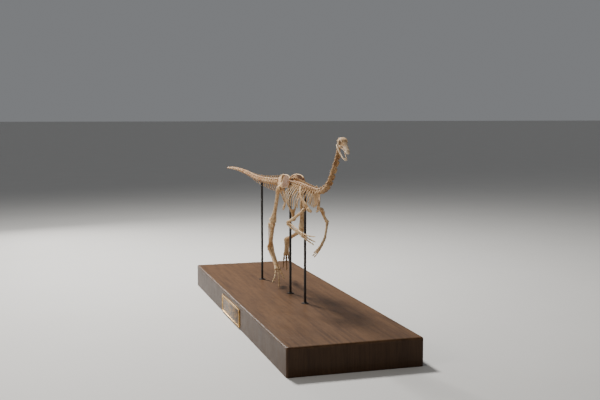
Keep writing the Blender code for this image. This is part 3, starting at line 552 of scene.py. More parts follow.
def walnut_grain():
    """Oiled walnut: long grain on top, upright grain on the sides, open pores and worn edges."""
    group, w, given, out = new_group(
        "walnut_grain",
        ("Facing", "Vector", None),
        ("Light", "Color", colour(140, 108, 82)),
        ("Deep", "Color", colour(72, 50, 36)),
    )
    where, light, deep = given["Place"], given["Light"], given["Deep"]
    facing = w.parts(given["Facing"])
    top = w.ramp(w.maths("ABSOLUTE", facing[2]), 0.55, 0.85)
    end = w.ramp(w.maths("ABSOLUTE", facing[0]), 0.55, 0.85)

    def figure(scale_top, scale_side, size, detail, warp):
        """One noise, drawn out along the board on top and upright on the sides."""
        lying = w.noise(w.stretched(where, scale_top), size, detail, 0.62, warp)
        upright = w.noise(w.stretched(where, scale_side), size, detail, 0.62, warp)
        return w.node("Mix", {0: top, 2: upright, 3: lying})[0]

    broad = figure((0.30, 3.0, 3.0), (3.5, 3.5, 0.5), 1.6, 3.0, 0.8)
    band = figure((0.8, 26.0, 26.0), (24.0, 24.0, 1.0), 2.0, 5.0, 0.4)
    fibre = figure((3.0, 90.0, 90.0), (80.0, 80.0, 3.5), 2.6, 4.0, 0.2)
    pore = figure((7.0, 260.0, 260.0), (240.0, 240.0, 7.0), 2.2, 2.0, 0.0)
    base = w.mix(w.ramp(w.blend(broad, 0.35, band, 0.65), 0.30, 0.62), deep, light)
    base = w.mix(w.times(w.ramp(fibre, 0.56, 0.38), 0.45), base, deep)
    base = w.mix(w.times(w.ramp(fibre, 0.56, 0.72), 0.30), base, light)
    slit = w.ramp(pore, 0.40, 0.30)
    base = w.mix(w.times(slit, 0.65), base, colour(38, 25, 17))
    # the end faces darker, partly end grain that drinks more oil and partly painted shade; the long sides
    # painted darker as shade
    base = w.mix(w.times(end, 0.62), base, colour(40, 26, 16))
    flank = w.less(1.0, w.maths("MAXIMUM", top, end), True)
    base = w.mix(w.times(flank, 0.55), base, colour(50, 34, 22))
    # old handling along the upper edge
    rim = w.ramp(w.parts(where)[2], BOARD_HEIGHT - BOARD_BEVEL * 1.6, BOARD_HEIGHT - BOARD_BEVEL * 0.4)
    edge = w.times(rim, w.less(1.0, top))
    worn = w.times(edge, w.ramp(w.noise(where, 14.0, 4.0), 0.38, 0.62))
    w.feed(out["Colour"], w.mix(w.times(worn, 0.45), base, light))
    rough = w.add(w.times(w.noise(where, 6.0, 4.0, 0.6), 0.22), 0.25)
    rough = w.add(rough, w.times(slit, 0.20))
    w.feed(out["Roughness"], w.add(rough, w.times(fibre, 0.10), True))
    w.feed(out["Height"], w.less(w.blend(fibre, 0.30, band, 0.10), w.times(slit, 0.55)))
    return group


def worn_metal():
    """Handled metal: smears, fine scratches and tarnish in clouds and specks."""
    group, w, given, out = new_group(
        "worn_metal",
        ("Clean", "Color", colour(200, 160, 90)),
        ("Tarnish", "Color", colour(110, 76, 36)),
        ("Smooth", "Float", 0.25),
        ("Wear", "Float", 0.5),
    )
    where = given["Place"]
    cloud = w.noise(where, 22.0, 5.0, 0.62, 0.8)
    speck = w.noise(where, 240.0, 3.0, 0.6)
    brush = w.noise(w.stretched(where, (3.0, 60.0, 160.0)), 4.0, 3.0, 0.6)
    base = w.mix(w.times(w.ramp(cloud, 0.42, 0.66), given["Wear"]), given["Clean"], given["Tarnish"])
    specks = w.times(w.ramp(speck, 0.62, 0.74), w.times(given["Wear"], 0.6))
    w.feed(out["Colour"], w.mix(specks, base, given["Tarnish"]))
    rough = w.add(given["Smooth"], w.times(w.less(cloud, 0.45), 0.35))
    w.feed(out["Roughness"], w.add(rough, w.times(w.less(brush, 0.5), 0.16), True))
    w.feed(out["Height"], w.blend(brush, 0.35, speck, 0.25))
    return group


def start_material(name, **fixed):
    """A material, its wiring, its shader's inputs and the place on the piece. fixed holds plain sockets."""
    mat = bpy.data.materials.new(name)
    mat.use_nodes = True
    tree = mat.node_tree
    tree.nodes.clear()
    shader = tree.nodes.new("ShaderNodeBsdfPrincipled")
    sink = tree.nodes.new("ShaderNodeOutputMaterial")
    tree.links.new(shader.outputs[0], sink.inputs["Surface"])
    for label, value in fixed.items():
        shader.inputs[label.replace("_", " ")].default_value = value
    w = Wiring(tree)
    return mat, w, shader.inputs, w.node("TexCoord", {})["Object"]


def dress(w, shader, group, strength, depth, **values):
    """Feeds a shader's colour, roughness and bump from one shared group. depth is the bump's, in metres."""
    made = w.node("Group", values, node_tree=group)
    w.feed(shader["Base Color"], made["Colour"])
    w.feed(shader["Roughness"], made["Roughness"])
    bumps = w.node("Bump", {"Strength": strength, "Distance": depth, "Height": made["Height"]})
    w.feed(shader["Normal"], bumps["Normal"])


def bone_material(name, tan, pale, dark, stain_and_shade, cracks=0.8):
    mat, w, shader, where = start_material(name, Specular_IOR_Level=0.20)
    relief = w.node("Attribute", {}, attribute_name="relief")["Fac"]
    shades = {"Tan": colour(*tan), "Pale": colour(*pale), "Dark": colour(*dark)}
    spots = {"Place": where, "Relief": relief}
    dress(w, shader, AGED_BONE, 0.55, 0.0012, **spots, **shades, Stain=stain_and_shade, Cracks=cracks)
    return mat


def wood_material(name, light, deep):
    mat, w, shader, where = start_material(
        name, Specular_IOR_Level=0.14, Coat_Weight=0.05, Coat_Roughness=0.18
    )
    facing = w.node("NewGeometry", {})["Normal"]
    shades = {"Light": colour(*light), "Deep": colour(*deep)}
    dress(w, shader, WALNUT_GRAIN, 0.30, 0.0006, Place=where, Facing=facing, **shades)
    return mat


def metal_material(name, clean, tarnish, smooth, wear, metallic, shine=0.5):
    mat, w, shader, where = start_material(name, Metallic=metallic, Specular_IOR_Level=shine)
    shades = {"Clean": colour(*clean), "Tarnish": colour(*tarnish)}
    dress(w, shader, WORN_METAL, 0.20, 0.0003, Place=where, Smooth=smooth, Wear=wear, **shades)
    return mat


def pale_paint(name, light, dark):
    mat, w, shader, where = start_material(name, Roughness=0.75)
    w.feed(shader["Base Color"], w.mix(w.noise(where, 0.9, 3.0, 0.5), colour(*dark), colour(*light)))
    return mat


AGED_BONE, WALNUT_GRAIN, WORN_METAL = aged_bone(), walnut_grain(), worn_metal()
# name, screen colours of its tan, pale and dark parts, strength of the brown staining with the painted hollow
# shade, and of the cracks
BONE = bone_material("bone", (190, 144, 94), (218, 190, 150), (92, 54, 28), 1.0)
BONE_SPINE = bone_material("bone_spine", (150, 102, 60), (184, 150, 108), (72, 38, 18), 1.15)
BONE_RIB = bone_material("bone_rib", (184, 142, 94), (216, 188, 150), (86, 50, 26), 0.95)
# the foot bones: paler and less darkened in hollows than the other bones, painted light as if the feet faced
# the lamp above
BONE_FOOT_LIT = bone_material("bone_foot_lit", (198, 158, 112), (222, 196, 158), (98, 64, 38), 0.62)
# the left toes: painted shade, a darker copy of the bone for toes that hang in shadow
BONE_TOES_SHADED = bone_material("bone_toes_shaded", (112, 82, 54), (160, 130, 94), (58, 36, 22), 1.1)
BONE_SKULL = bone_material("bone_skull", (202, 164, 120), (228, 206, 174), (76, 44, 24), 1.0, 0.30)
WOOD = wood_material("walnut", (102, 74, 49), (66, 45, 29))
# name, screen colours when clean and when tarnished, roughness, wear, metallic value and specular level
STEEL = metal_material("black_steel", (34, 31, 30), (70, 60, 52), 0.42, 0.6, 0.5)
BRASS = metal_material("brass", (226, 178, 96), (130, 88, 40), 0.18, 0.40, 1.0)
# the plaque's field: its dark clean colour is a painted reflection of dark surroundings, not a dark metal
BRASS_FIELD_REFLECTION = metal_material("brass_field_painted_reflection", (46, 33, 21), (172, 126, 62), 0.30, 0.80, 0.15, 0.16)


# ================================================================ limb bones
def outward(side):
    return LEFTWARD * SIDES[side]


def shaft(start, end, profile, front, sides=20, bow=0.0):
    """A limb bone's shaft. profile rows are (share of length, half width, half depth)."""
    a, b = up(start), up(end)
    way = (b - a).normalized()
    fore = square_to(way, front)
    flank = way.cross(fore)
    stations = []
    for share, wide, deep in refine(profile, 4):
        centre = a.lerp(b, share) + fore * bow * math.sin(math.pi * min(max(share, 0.0), 1.0))
        stations.append((centre, flank * wide, fore * deep))
    return loft(stations, sides)


def limb_axes(start, end, front):
    """Along a limb bone, to its front, and to its flank."""
    way = (Vector(end) - Vector(start)).normalized()
    fore = square_to(way, front)
    return way, fore, way.cross(fore).normalized()


def femur(side):
    hip, knee = Vector(HIP[side]), Vector(KNEE[side])
    out = outward(side)
    start, end = hip + out * 0.014, knee + (hip - knee).normalized() * 0.004
    front = Vector((1, 0, 0.3))
    way, fore, flank = limb_axes(start, end, front)
    profile = [
        (-0.040, 0.012, 0.020),
        (0.000, 0.021, 0.033),
        (0.070, 0.025, 0.032),
        (0.180, 0.0210, 0.0240),
        (0.400, 0.0200, 0.0215),
        (0.620, 0.0215, 0.0225),
        (0.780, 0.0285, 0.0265),
        (0.900, 0.0385, 0.0340),
        (0.955, 0.0400, 0.0320),
        (0.990, 0.0320, 0.0220),
    ]
    # the shaft, the ball that sits in the socket, its neck, and the two lumps for muscle
    head_at = up(hip) - out * 0.030
    shells = [
        shaft(start, end, profile, front, bow=0.012),
        ball(head_at, 0.0265),
        tube([head_at, up(hip) + out * 0.014], [0.0165, 0.022], AHEAD),
        knob(up(start) - way * 0.010 + fore * 0.014, flank * 0.013, fore * 0.022, way * 0.028),
        knob(up(start) + way * 0.110 - fore * 0.024, flank * 0.006, fore * 0.010, way * 0.030),
    ]
    # the two knee rollers, each with a ridge up its front
    base = up(end) - way * 0.030
    for hand in HANDS:
        roller = base + flank * hand * 0.0250 - fore * 0.012
        shells.append(knob(roller, flank * 0.0170, fore * 0.033, way * 0.027))
        high = base + flank * hand * 0.020 + fore * 0.020 - way * 0.05
        low = base + flank * hand * 0.022 + fore * 0.024 + way * 0.012
        shells.append(tube([high, low], [0.008, 0.011], flank, 12))
    finish_bone("femur_" + side, shells, BONE, voxel=0.0026, rounds=3)


def shin(side):
    knee, ankle = Vector(KNEE[side]), Vector(ANKLE[side])
    way, fore, flank = limb_axes(knee, ankle, Vector((1.0, 0.0, -0.8)))
    profile = [
        (0.000, 0.026, 0.025),
        (0.030, 0.033, 0.036),
        (0.090, 0.031, 0.039),
        (0.180, 0.0265, 0.031),
        (0.380, 0.0240, 0.0215),
        (0.700, 0.0235, 0.0185),
        (0.860, 0.031, 0.0200),
        (0.950, 0.0395, 0.0230),
        (1.000, 0.031, 0.0180),
    ]
    start, end = knee + way * 0.006, ankle - way * 0.004
    # the crest in front of the knee, two knee lumps behind it, two ankle rollers
    crest = knob(up(start) + way * 0.032 + fore * 0.026, flank * 0.009, fore * 0.017, way * 0.042)
    shells = [shaft(start, end, profile, fore, bow=0.006), crest]
    for hand in HANDS:
        lump = up(start) + way * 0.016 + flank * hand * 0.016 - fore * 0.012
        shells.append(knob(lump, flank * 0.015, fore * 0.022, way * 0.018))
        roller = up(end) - way * 0.017 + flank * hand * 0.0225 + fore * 0.004
        shells.append(knob(roller, flank * 0.0180, fore * 0.0250, way * 0.022))
    finish_bone("tibia_" + side, shells, BONE, voxel=0.0026, rounds=3)
    splint = [
        (0.000, 0.0085, 0.018),
        (0.030, 0.0110, 0.023),
        (0.090, 0.0105, 0.020),
        (0.250, 0.0080, 0.012),
        (0.600, 0.0055, 0.007),
        (1.000, 0.0045, 0.0045),
    ]
    head = knee + way * 0.022 + outward(side) * 0.0385 - fore * 0.010
    foot_at = knee.lerp(ankle, 0.78) + outward(side) * 0.0245 + fore * 0.004
    bone = shaft(head, foot_at, splint, fore, 14)
    finish_bone("fibula_" + side, [bone], BONE, voxel=0.0018, rounds=3, swell=0.0008)


def cannon(side):
    """The three long foot bones, grown side by side, the middle one pinched at the top."""
    ankle, root = Vector(ANKLE[side]), Vector(TOE_ROOT[side])
    front = Vector((1.0, 0.0, 1.0)) if side == "right" else Vector((1.0, 0.0, -0.6))
    way, fore, flank = limb_axes(ankle, root, front)
    start, end = up(ankle + way * 0.006), up(root - way * 0.004)
    # share of length, half width, distance of the outer bones from the middle one, half depth
    rows = [
        (0.000, 0.0145, 0.0200, 0.0215),
        (0.035, 0.0165, 0.0225, 0.0300),
        (0.120, 0.0150, 0.0195, 0.0255),
        (0.450, 0.0132, 0.0140, 0.0205),
        (0.800, 0.0130, 0.0150, 0.0180),
        (0.900, 0.0135, 0.0205, 0.0180),
        (0.960, 0.0138, 0.0240, 0.0185),
        (1.000, 0.0105, 0.0245, 0.0130),
    ]
    # the middle bone's rounded end goes on past the others
    shells = [knob(start.lerp(end, 0.985), flank * 0.0115, fore * 0.017, way * 0.014)]
    for k in (-1.0, 0.0, 1.0):
        stations = []
        for share, wide, shift, deep in refine(rows, 4):
            pinch = 0.66 + 0.62 * min(max(share, 0.0), 1.0) ** 1.5
            lift = fore * (0.0035 * share if k == 0.0 else 0.0)
            centre = start.lerp(end, share) + flank * k * shift + lift
            wide, deep = (wide * 1.10, deep) if k else (wide * pinch, deep * 0.95)
            stations.append((centre, flank * wide, fore * deep))
        shells.append(loft(stations, 16))
    finish_bone("metatarsus_" + side, shells, BONE_FOOT_LIT, voxel=0.0022)


def digit(name, start, tip, way, joints, radius, mat):
    """A finger or toe: waisted bones in a row with a small gap at each knuckle, and a claw."""
    a, b = up(start), up(tip)
    reach = (b - a).length
    lead = (way.normalized() * 0.30 + (b - a).normalized() * 0.70).normalized()
    path = smooth_curve([a, a + lead * reach * 0.48, b], 2 * joints + 2)
    knuckle_gap, taper = 0.0016, 0.42
    last = len(path) - 1
    shells = []
    for k in range(joints):
        p, q = path[2 * k], path[2 * k + 2]
        along = (q - p).normalized()
        side, rise = across(along, LEFTWARD)
        p, q = p + along * knuckle_gap, q - along * knuckle_gap
        near = radius * (1.0 - taper * (2 * k) / last) * (0.92 if k else 0.80)
        far = radius * (1.0 - taper * (2 * k + 2) / last) * 0.92
        rows = [
            (0.0, near * 0.72),
            (0.06, near * 0.98),
            (0.16, near),
            (0.50, near * 0.70),
            (0.82, far * 0.92),
            (0.94, far),
            (1.0, far * 0.76),
        ]
        stations = [(p.lerp(q, share), side * girth, rise * girth * 0.92) for share, girth in refine(rows, 3)]
        shells.append(loft(stations, 16))
        for hand in HANDS:
            roller = p.lerp(q, 0.93) + side * hand * far * 0.42
            shells.append(knob(roller, side * far * 0.62, rise * far * 0.95, along * far * 0.75))
    p, q = path[-2], path[-1]
    along = (q - p).normalized()
    claw = smooth_curve([p - along * radius * 0.1, p.lerp(q, 0.30), p.lerp(q, 0.65), q], 9)
    girths = [radius * share for share in (0.46, 0.60, 0.56, 0.50, 0.43, 0.35, 0.26, 0.17, 0.10)]
    shells.append(tube(claw, girths, across(along, LEFTWARD)[0], 14))
    finish_bone(name, shells, mat, voxel=0.0015, swell=0.0005, pit=0.0004)


def foot(side):
    root = Vector(TOE_ROOT[side])
    way = (root - Vector(ANKLE[side])).normalized()
    cannon(side)
    for toe, shift in {"inner": -0.026, "middle": 0.0, "outer": 0.026}.items():
        start = root + outward(side) * shift + way * (0.006 if toe == "middle" else 0.002)
        # right toes in the paler painted-light foot bone, left toes in the darker painted-shade copy
        mat = BONE_FOOT_LIT if side == "right" else BONE_TOES_SHADED
        joints = 3 if toe == "inner" else 4
        digit(f"toe_{toe}_{side}", start, TOE_TIPS[side][toe], way, joints, 0.0142, mat)


def ribbon(path, sizes, hint, hint_is_wide):
    """The stations of a flat bar along a path. sizes are (half width, half thickness) for each point.

    The hint is the way of the width, or else of the thickness.
    """
    stations = []
    for i, centre in enumerate(path):
        way = tangent(path, i)
        near = square_to(way, hint)
        wide, thin = (near, way.cross(near)) if hint_is_wide else (way.cross(near), near)
        stations.append((centre, wide * sizes[i][0], thin * sizes[i][1]))
    return stations


def shoulder(side):
    """Shoulder blade and coracoid, grown together."""
    out = outward(side)
    blade_end, joint, toe = up(SCAPULA_END[side]), up(SHOULDER[side]), up(CORACOID_END[side])
    joint = joint - out * 0.014
    belly = joint.lerp(blade_end, 0.5) + out * 0.028 + Vector((-0.008, 0, 0.006))
    widths = [
        (0.026, 0.0045),
        (0.027, 0.006),
        (0.022, 0.007),
        (0.018, 0.008),
        (0.020, 0.010),
        (0.028, 0.014),
        (0.024, 0.014),
    ]
    sizes = [(wide * 1.12, thin) for wide, thin in refine(widths, 4)]
    sizes[0] = (0.020 * 1.12, 0.003)
    shells = [loft(ribbon(smooth_curve([blade_end, belly, joint], 25), sizes, out, False), 20)]
    start = joint + Vector((0.004, 0, 0.014))
    cup = smooth_curve([start, start.lerp(toe, 0.5) + out * 0.012, toe], 17)
    sizes = refine([(0.026, 0.013), (0.037, 0.013), (0.041, 0.012), (0.038, 0.012), (0.026, 0.009)], 4)
    stations = ribbon(cup, sizes, Vector((1.0, 0, 0.35)), True)
    shells.append(loft(stations, 20))
    # thick lips round the arm socket and a rounded lower border
    lip = joint.lerp(start, 0.5) + out * 0.010
    shells.append(knob(lip + Vector((-0.020, 0, 0.012)), AHEAD * 0.012, out * 0.014, UPWARD * 0.016))
    shells.append(knob(lip + Vector((0.014, 0, -0.010)), AHEAD * 0.014, out * 0.013, UPWARD * 0.014))
    wide, fall = stations[-1][1].normalized(), tangent(cup, len(cup) - 1)
    shells.append(knob(toe - fall * 0.006, wide * 0.030, wide.cross(fall) * 0.0115, fall * 0.015))
    finish_bone("scapula_" + side, shells, BONE, voxel=0.0024, rounds=3, pit=0.0006)


def upper_arm(side):
    shoulder_at, elbow = Vector(SHOULDER[side]), Vector(ELBOW[side])
    profile = [
        (0.000, 0.0165, 0.0130),
        (0.030, 0.0285, 0.0180),
        (0.140, 0.0275, 0.0150),
        (0.280, 0.0195, 0.0150),
        (0.600, 0.0158, 0.0150),
        (0.880, 0.0205, 0.0158),
        (0.970, 0.0230, 0.0152),
        (1.000, 0.0160, 0.0120),
    ]
    way, fore, flank = limb_axes(shoulder_at, elbow, Vector((0.4, 0, 1)))
    start = shoulder_at + way * 0.014 + outward(side) * 0.016
    # the shaft, its head, the crest for the chest muscle, and two elbow rollers
    shells = [
        shaft(start, elbow - way * 0.005, profile, fore, bow=-0.006),
        knob(up(start) + way * 0.010 + fore * 0.002, flank * 0.022, fore * 0.0165, way * 0.017),
        knob(up(start) + way * 0.055 + flank * 0.018, flank * 0.008, fore * 0.007, way * 0.034),
    ]
    for hand in HANDS:
        roller = up(elbow) - way * 0.016 + flank * hand * 0.0125
        shells.append(knob(roller, flank * 0.0120, fore * 0.0165, way * 0.0140))
    finish_bone("humerus_" + side, shells, BONE, voxel=0.0022)


def forearm(side):
    """Radius and ulna. Gives the way that they lie apart, which the hand follows."""
    elbow, wrist = Vector(ELBOW[side]), Vector(WRIST[side])
    way = (wrist - elbow).normalized()
    spread = square_to(way, UPWARD)
    profile = [
        (0.000, 0.0115, 0.0120),
        (0.060, 0.0142, 0.0150),
        (0.200, 0.0112, 0.0112),
        (0.750, 0.0094, 0.0094),
        (0.930, 0.0120, 0.0120),
        (1.000, 0.0095, 0.0090),
    ]
    near, far = elbow + way * 0.014 + spread * 0.014, wrist - way * 0.004 + spread * 0.011
    finish_bone("radius_" + side, [shaft(near, far, profile, spread, 14)], BONE, voxel=0.0018, swell=0.0008)
    near, far = elbow - way * 0.002 - spread * 0.0145, wrist - way * 0.004 - spread * 0.011
    cap_at = up(near) + way * 0.010 - spread * 0.003
    cap = knob(cap_at, spread * 0.013, way.cross(spread) * 0.011, way * 0.017)
    bone = shaft(near, far, profile, spread, 14, -0.006)
    finish_bone("ulna_" + side, [bone, cap], BONE, voxel=0.0018, swell=0.0008)
    return spread


def hand_of(side, spread):
    """The three palm bones with their wrist bones, and the fingers."""
    wrist, hand_at = Vector(WRIST[side]), Vector(HAND_END[side])
    way = (hand_at - wrist).normalized()
    palm_side = square_to(way, spread)
    # share of length and radius of a palm bone
    rows = [
        (0.0, 0.0080),
        (0.05, 0.0110),
        (0.14, 0.0112),
        (0.5, 0.0082),
        (0.85, 0.0106),
        (0.95, 0.0110),
        (1.0, 0.0080),
    ]
    fine = refine(rows, 3)
    rays = {"first": -1.0, "second": 0.0, "third": 1.0}
    shells = []
    for k in rays.values():
        a = up(wrist + way * 0.006 + palm_side * k * 0.0115)
        b = up(hand_at - way * 0.005 + palm_side * k * 0.017)
        shells.append(tube([a.lerp(b, row[0]) for row in fine], [row[1] for row in fine], palm_side, 14))
        shells.append(ball(up(wrist + way * 0.004 + palm_side * k * 0.0112), 0.0100))
    finish_bone("metacarpus_" + side, shells, BONE, voxel=0.0018, swell=0.0006)
    for finger, k in rays.items():
        start = hand_at + palm_side * k * 0.017 + way * 0.0045
        digit(f"finger_{finger}_{side}", start, FINGER_TIPS[side][finger], way, 3, 0.0114, BONE)


# ================================================================ spine
def vertebra(here, way, rise, span, body, waist, share):
    """A spool-shaped vertebral body with raised rims, as long as its share of the span of one vertebra."""
    side = rise.cross(way).normalized()
    half = span * share * 0.5
    rows = [(0.0, waist), (0.45, waist + 0.05), (0.80, 0.98), (0.93, 1.0), (1.0, 0.90)]
    rows = [(-x, girth) for x, girth in rows[:0:-1]] + rows
    stations = [(here + way * half * x, side * body * girth, rise * body * girth) for x, girth in rows]
    return loft(stations, 18)


def blade(base, top, low, high, thick, way, lip=1.3):
    """A thin upright or side blade of bone, long along the way, a little swollen at its end.

    low and high are its lengths at its base and at its top, and lip thickens its end.
    """
    rise = (top - base).normalized()
    along = square_to(rise, way)
    side = rise.cross(along)
    steps = 5
    stations = []
    for k in range(steps + 1):
        s = k / steps
        length = low + (high - low) * s ** 0.8
        girth = thick * (1.0 - 0.45 * math.sin(math.pi * min(s * 1.05, 1.0)))
        if k == steps:
            girth = thick * 0.8 * lip
            length = length * 0.94
        stations.append((base.lerp(top, s), along * length * 0.5, side * girth))
    return loft(stations, 12)


def neck_vertebra(here, way, span, n):
    """One neck vertebra: body, arch, low crest, and a rib each side but for the one under the skull."""
    side, rise = across(way, -LEFTWARD)
    size = 1.0 - 0.15 * (2 * n + 1) / CERVICAL_COUNT
    # the arch over the nerve canal, wide at both joints and narrow between: (place along, half width,
    # height, half height)
    arch = [
        (-0.47, 0.018, 0.026, 0.005),
        (-0.36, 0.026, 0.025, 0.009),
        (-0.05, 0.0155, 0.020, 0.015),
        (0.24, 0.020, 0.021, 0.012),
        (0.40, 0.027, 0.020, 0.0085),
        (0.50, 0.019, 0.020, 0.005),
    ]
    arch = [(x * span, wide * size, lift * size, tall * size) for x, wide, lift, tall in arch]
    stations = []
    for x, wide, lift, tall in refine(arch, 3):
        stations.append((here + way * x + rise * lift, side * wide, rise * tall))
    crest = here + rise * (0.047 * size) - way * 0.004
    shells = [
        vertebra(here, way, rise, span, 0.0260 * size, 0.72, 0.985),
        loft(stations, 16),
        blade(here + rise * 0.012, crest, span * 0.46, span * 0.30, 0.0055, way),
    ]
    if n == CERVICAL_COUNT - 1:
        return shells
    rib = 1.0 - 0.30 * n / CERVICAL_COUNT
    girths = (0.0100, 0.0098, 0.0096, 0.0092, 0.0086, 0.0078, 0.0070, 0.0062, 0.0055, 0.0048, 0.0040, 0.0030)
    girths = [(girth * rib, girth * rib * 0.8) for girth in girths]
    for hand in HANDS:
        root = here + way * span * 0.28 + side * hand * 0.010 - rise * 0.006
        knee = here + way * span * 0.20 + (side * hand * 0.0305 - rise * 0.0170) * rib
        middle = here - way * span * 0.14 + (side * hand * 0.0285 - rise * 0.0225) * rib
        tip = here - way * span * 0.46 + (side * hand * 0.0240 - rise * 0.0240) * rib
        shells.append(tube(smooth_curve([root, knee, middle, tip], len(girths)), girths, rise, 12))
        # the bone between the rib and the body
        web = here - way * span * 0.04 + side * hand * 0.0185 * size - rise * 0.0125
        shells.append(knob(web, side * 0.0110, rise * 0.0085, way * span * 0.34))
    return shells


def neck():
    path = smooth_curve([up(p) for p in NECK_CURVE], 2 * CERVICAL_COUNT + 1)
    half = CERVICAL_COUNT // 2
    # the cupped ring that carries the skull
    cup = path[-1]
    lead = (head_point(-0.0075, 0, -0.004) - cup).normalized()
    ring = []
    rows = [(-0.014, 0.0140), (-0.006, 0.0175), (0.006, 0.0190), (0.0135, 0.0175), (0.0155, 0.0140)]
    for reach, wide in rows:
        ring.append((cup + lead * reach, LEFTWARD * wide, lead.cross(LEFTWARD) * wide * 0.66))
    cupped = {"neck_lower": [], "neck_upper": [loft(ring, 20)]}
    for name, first, last in (("neck_lower", 0, half), ("neck_upper", half, CERVICAL_COUNT)):
        shells = []
        for n in range(first, last):
            k = 2 * n + 1
            shells += neck_vertebra(path[k], tangent(path, k), (path[k + 1] - path[k - 1]).length, n)
        finish_bone(name, shells + cupped[name], BONE_SPINE, voxel=0.0022, swell=0.0010)


def back_rib(here, hand, share, wide):
    """One rib, with the knob that meets its vertebra. share goes from 0 at the hips to 1 at the neck."""
    depth = 0.262 * math.sin(math.pi * (0.20 + 0.46 * share)) ** 0.8
    depth = depth * (1.0 - 0.30 * share ** 2)
    sweep = 0.125 - 0.045 * share
    points = 19
    curve, girths = [], []
    for k in range(points):
        s = k / (points - 1)
        out = wide * math.sin(math.pi * (0.03 + 0.60 * s ** 0.9))
        down = 0.010 * math.sin(math.pi * min(s * 2.5, 1.0)) - depth * s ** 1.15
        curve.append(here + UPWARD * 0.020 + Vector((-sweep * s ** 1.3, hand * out, down)))
        size = 0.0108 - 0.0035 * s - (0.0018 if k == points - 1 else 0.0)
        size = size + 0.0012 * math.exp(-((s - 0.97) / 0.03) ** 2)
        girths.append((size, size * (0.60 + 0.10 * s)))
    angle = knob(curve[3] + UPWARD * 0.004, AHEAD * 0.010, LEFTWARD * 0.011, UPWARD * 0.008)
    return [tube(curve, girths, AHEAD, 14), angle]


def back():
    """The back's vertebrae, and the ribs of each side."""
    whole = smooth_curve([up(p) for p in TRUNK_CURVE], 401)
    dorsal = [p for p in whole if SACRUM_FRONT_X - 1e-6 <= p.x <= DORSAL_FRONT_X + 1e-6]
    thirds = [dorsal[0], dorsal[len(dorsal) // 3], dorsal[2 * len(dorsal) // 3], dorsal[-1]]
    path = smooth_curve(thirds, 2 * DORSAL_COUNT + 1)
    spine, ribs = [], {1.0: [], -1.0: []}
    for n in range(DORSAL_COUNT):
        here, way = path[2 * n + 1], tangent(path, 2 * n + 1)
        span = path[2].x - path[0].x
        rise = square_to(way, UPWARD)
        side = rise.cross(way)
        crest = here + Vector((-0.004, 0, SPINE_RISE - 0.026 * n / DORSAL_COUNT))
        body = 0.033 - 0.007 * (n + 0.5) / DORSAL_COUNT
        # the body, its tall spine, and the joint prongs to the next and last vertebra
        spine += [
            vertebra(here, way, rise, span, body, 0.78, 0.93),
            blade(here, crest, span * 0.78, span * 0.72, 0.0085, way, 1.5),
            knob(here + rise * 0.030, side * 0.016, rise * 0.012, way * span * 0.44),
            knob(here + rise * 0.030 + way * span * 0.40, side * 0.013, rise * 0.007, way * span * 0.16),
        ]
        share = n / (DORSAL_COUNT - 1.0)
        wide = 0.122 * math.sin(math.pi * (0.26 + 0.44 * (1.0 - share))) * (1.0 - 0.56 * share ** 3)
        reach = (0.070 - 0.014 * share) * 0.80
        for hand in HANDS:
            end = here + Vector((-0.004, hand * reach, 0.026))
            spine.append(blade(here + UPWARD * 0.016, end, span * 0.60, span * 0.40, 0.0075, way, 1.2))
            if n > 0:
                ribs[hand] += back_rib(here, hand, share, wide)
    both = ["rib_cage_left", "rib_cage_right"]
    finish_bone("back_vertebrae", spine, BONE_SPINE, voxel=0.0026, nodes=both, swell=0.0010)
    finish_bone("ribs_left", ribs[1.0], BONE_RIB, voxel=0.0022, nodes=["rib_cage_left"], swell=0.0008)
    finish_bone("ribs_right", ribs[-1.0], BONE_RIB, voxel=0.0022, nodes=["rib_cage_right"], swell=0.0008)


HIP_PLATE_OUT = 0.090  # from the middle of the animal to the stumps that carry pubis and ischium


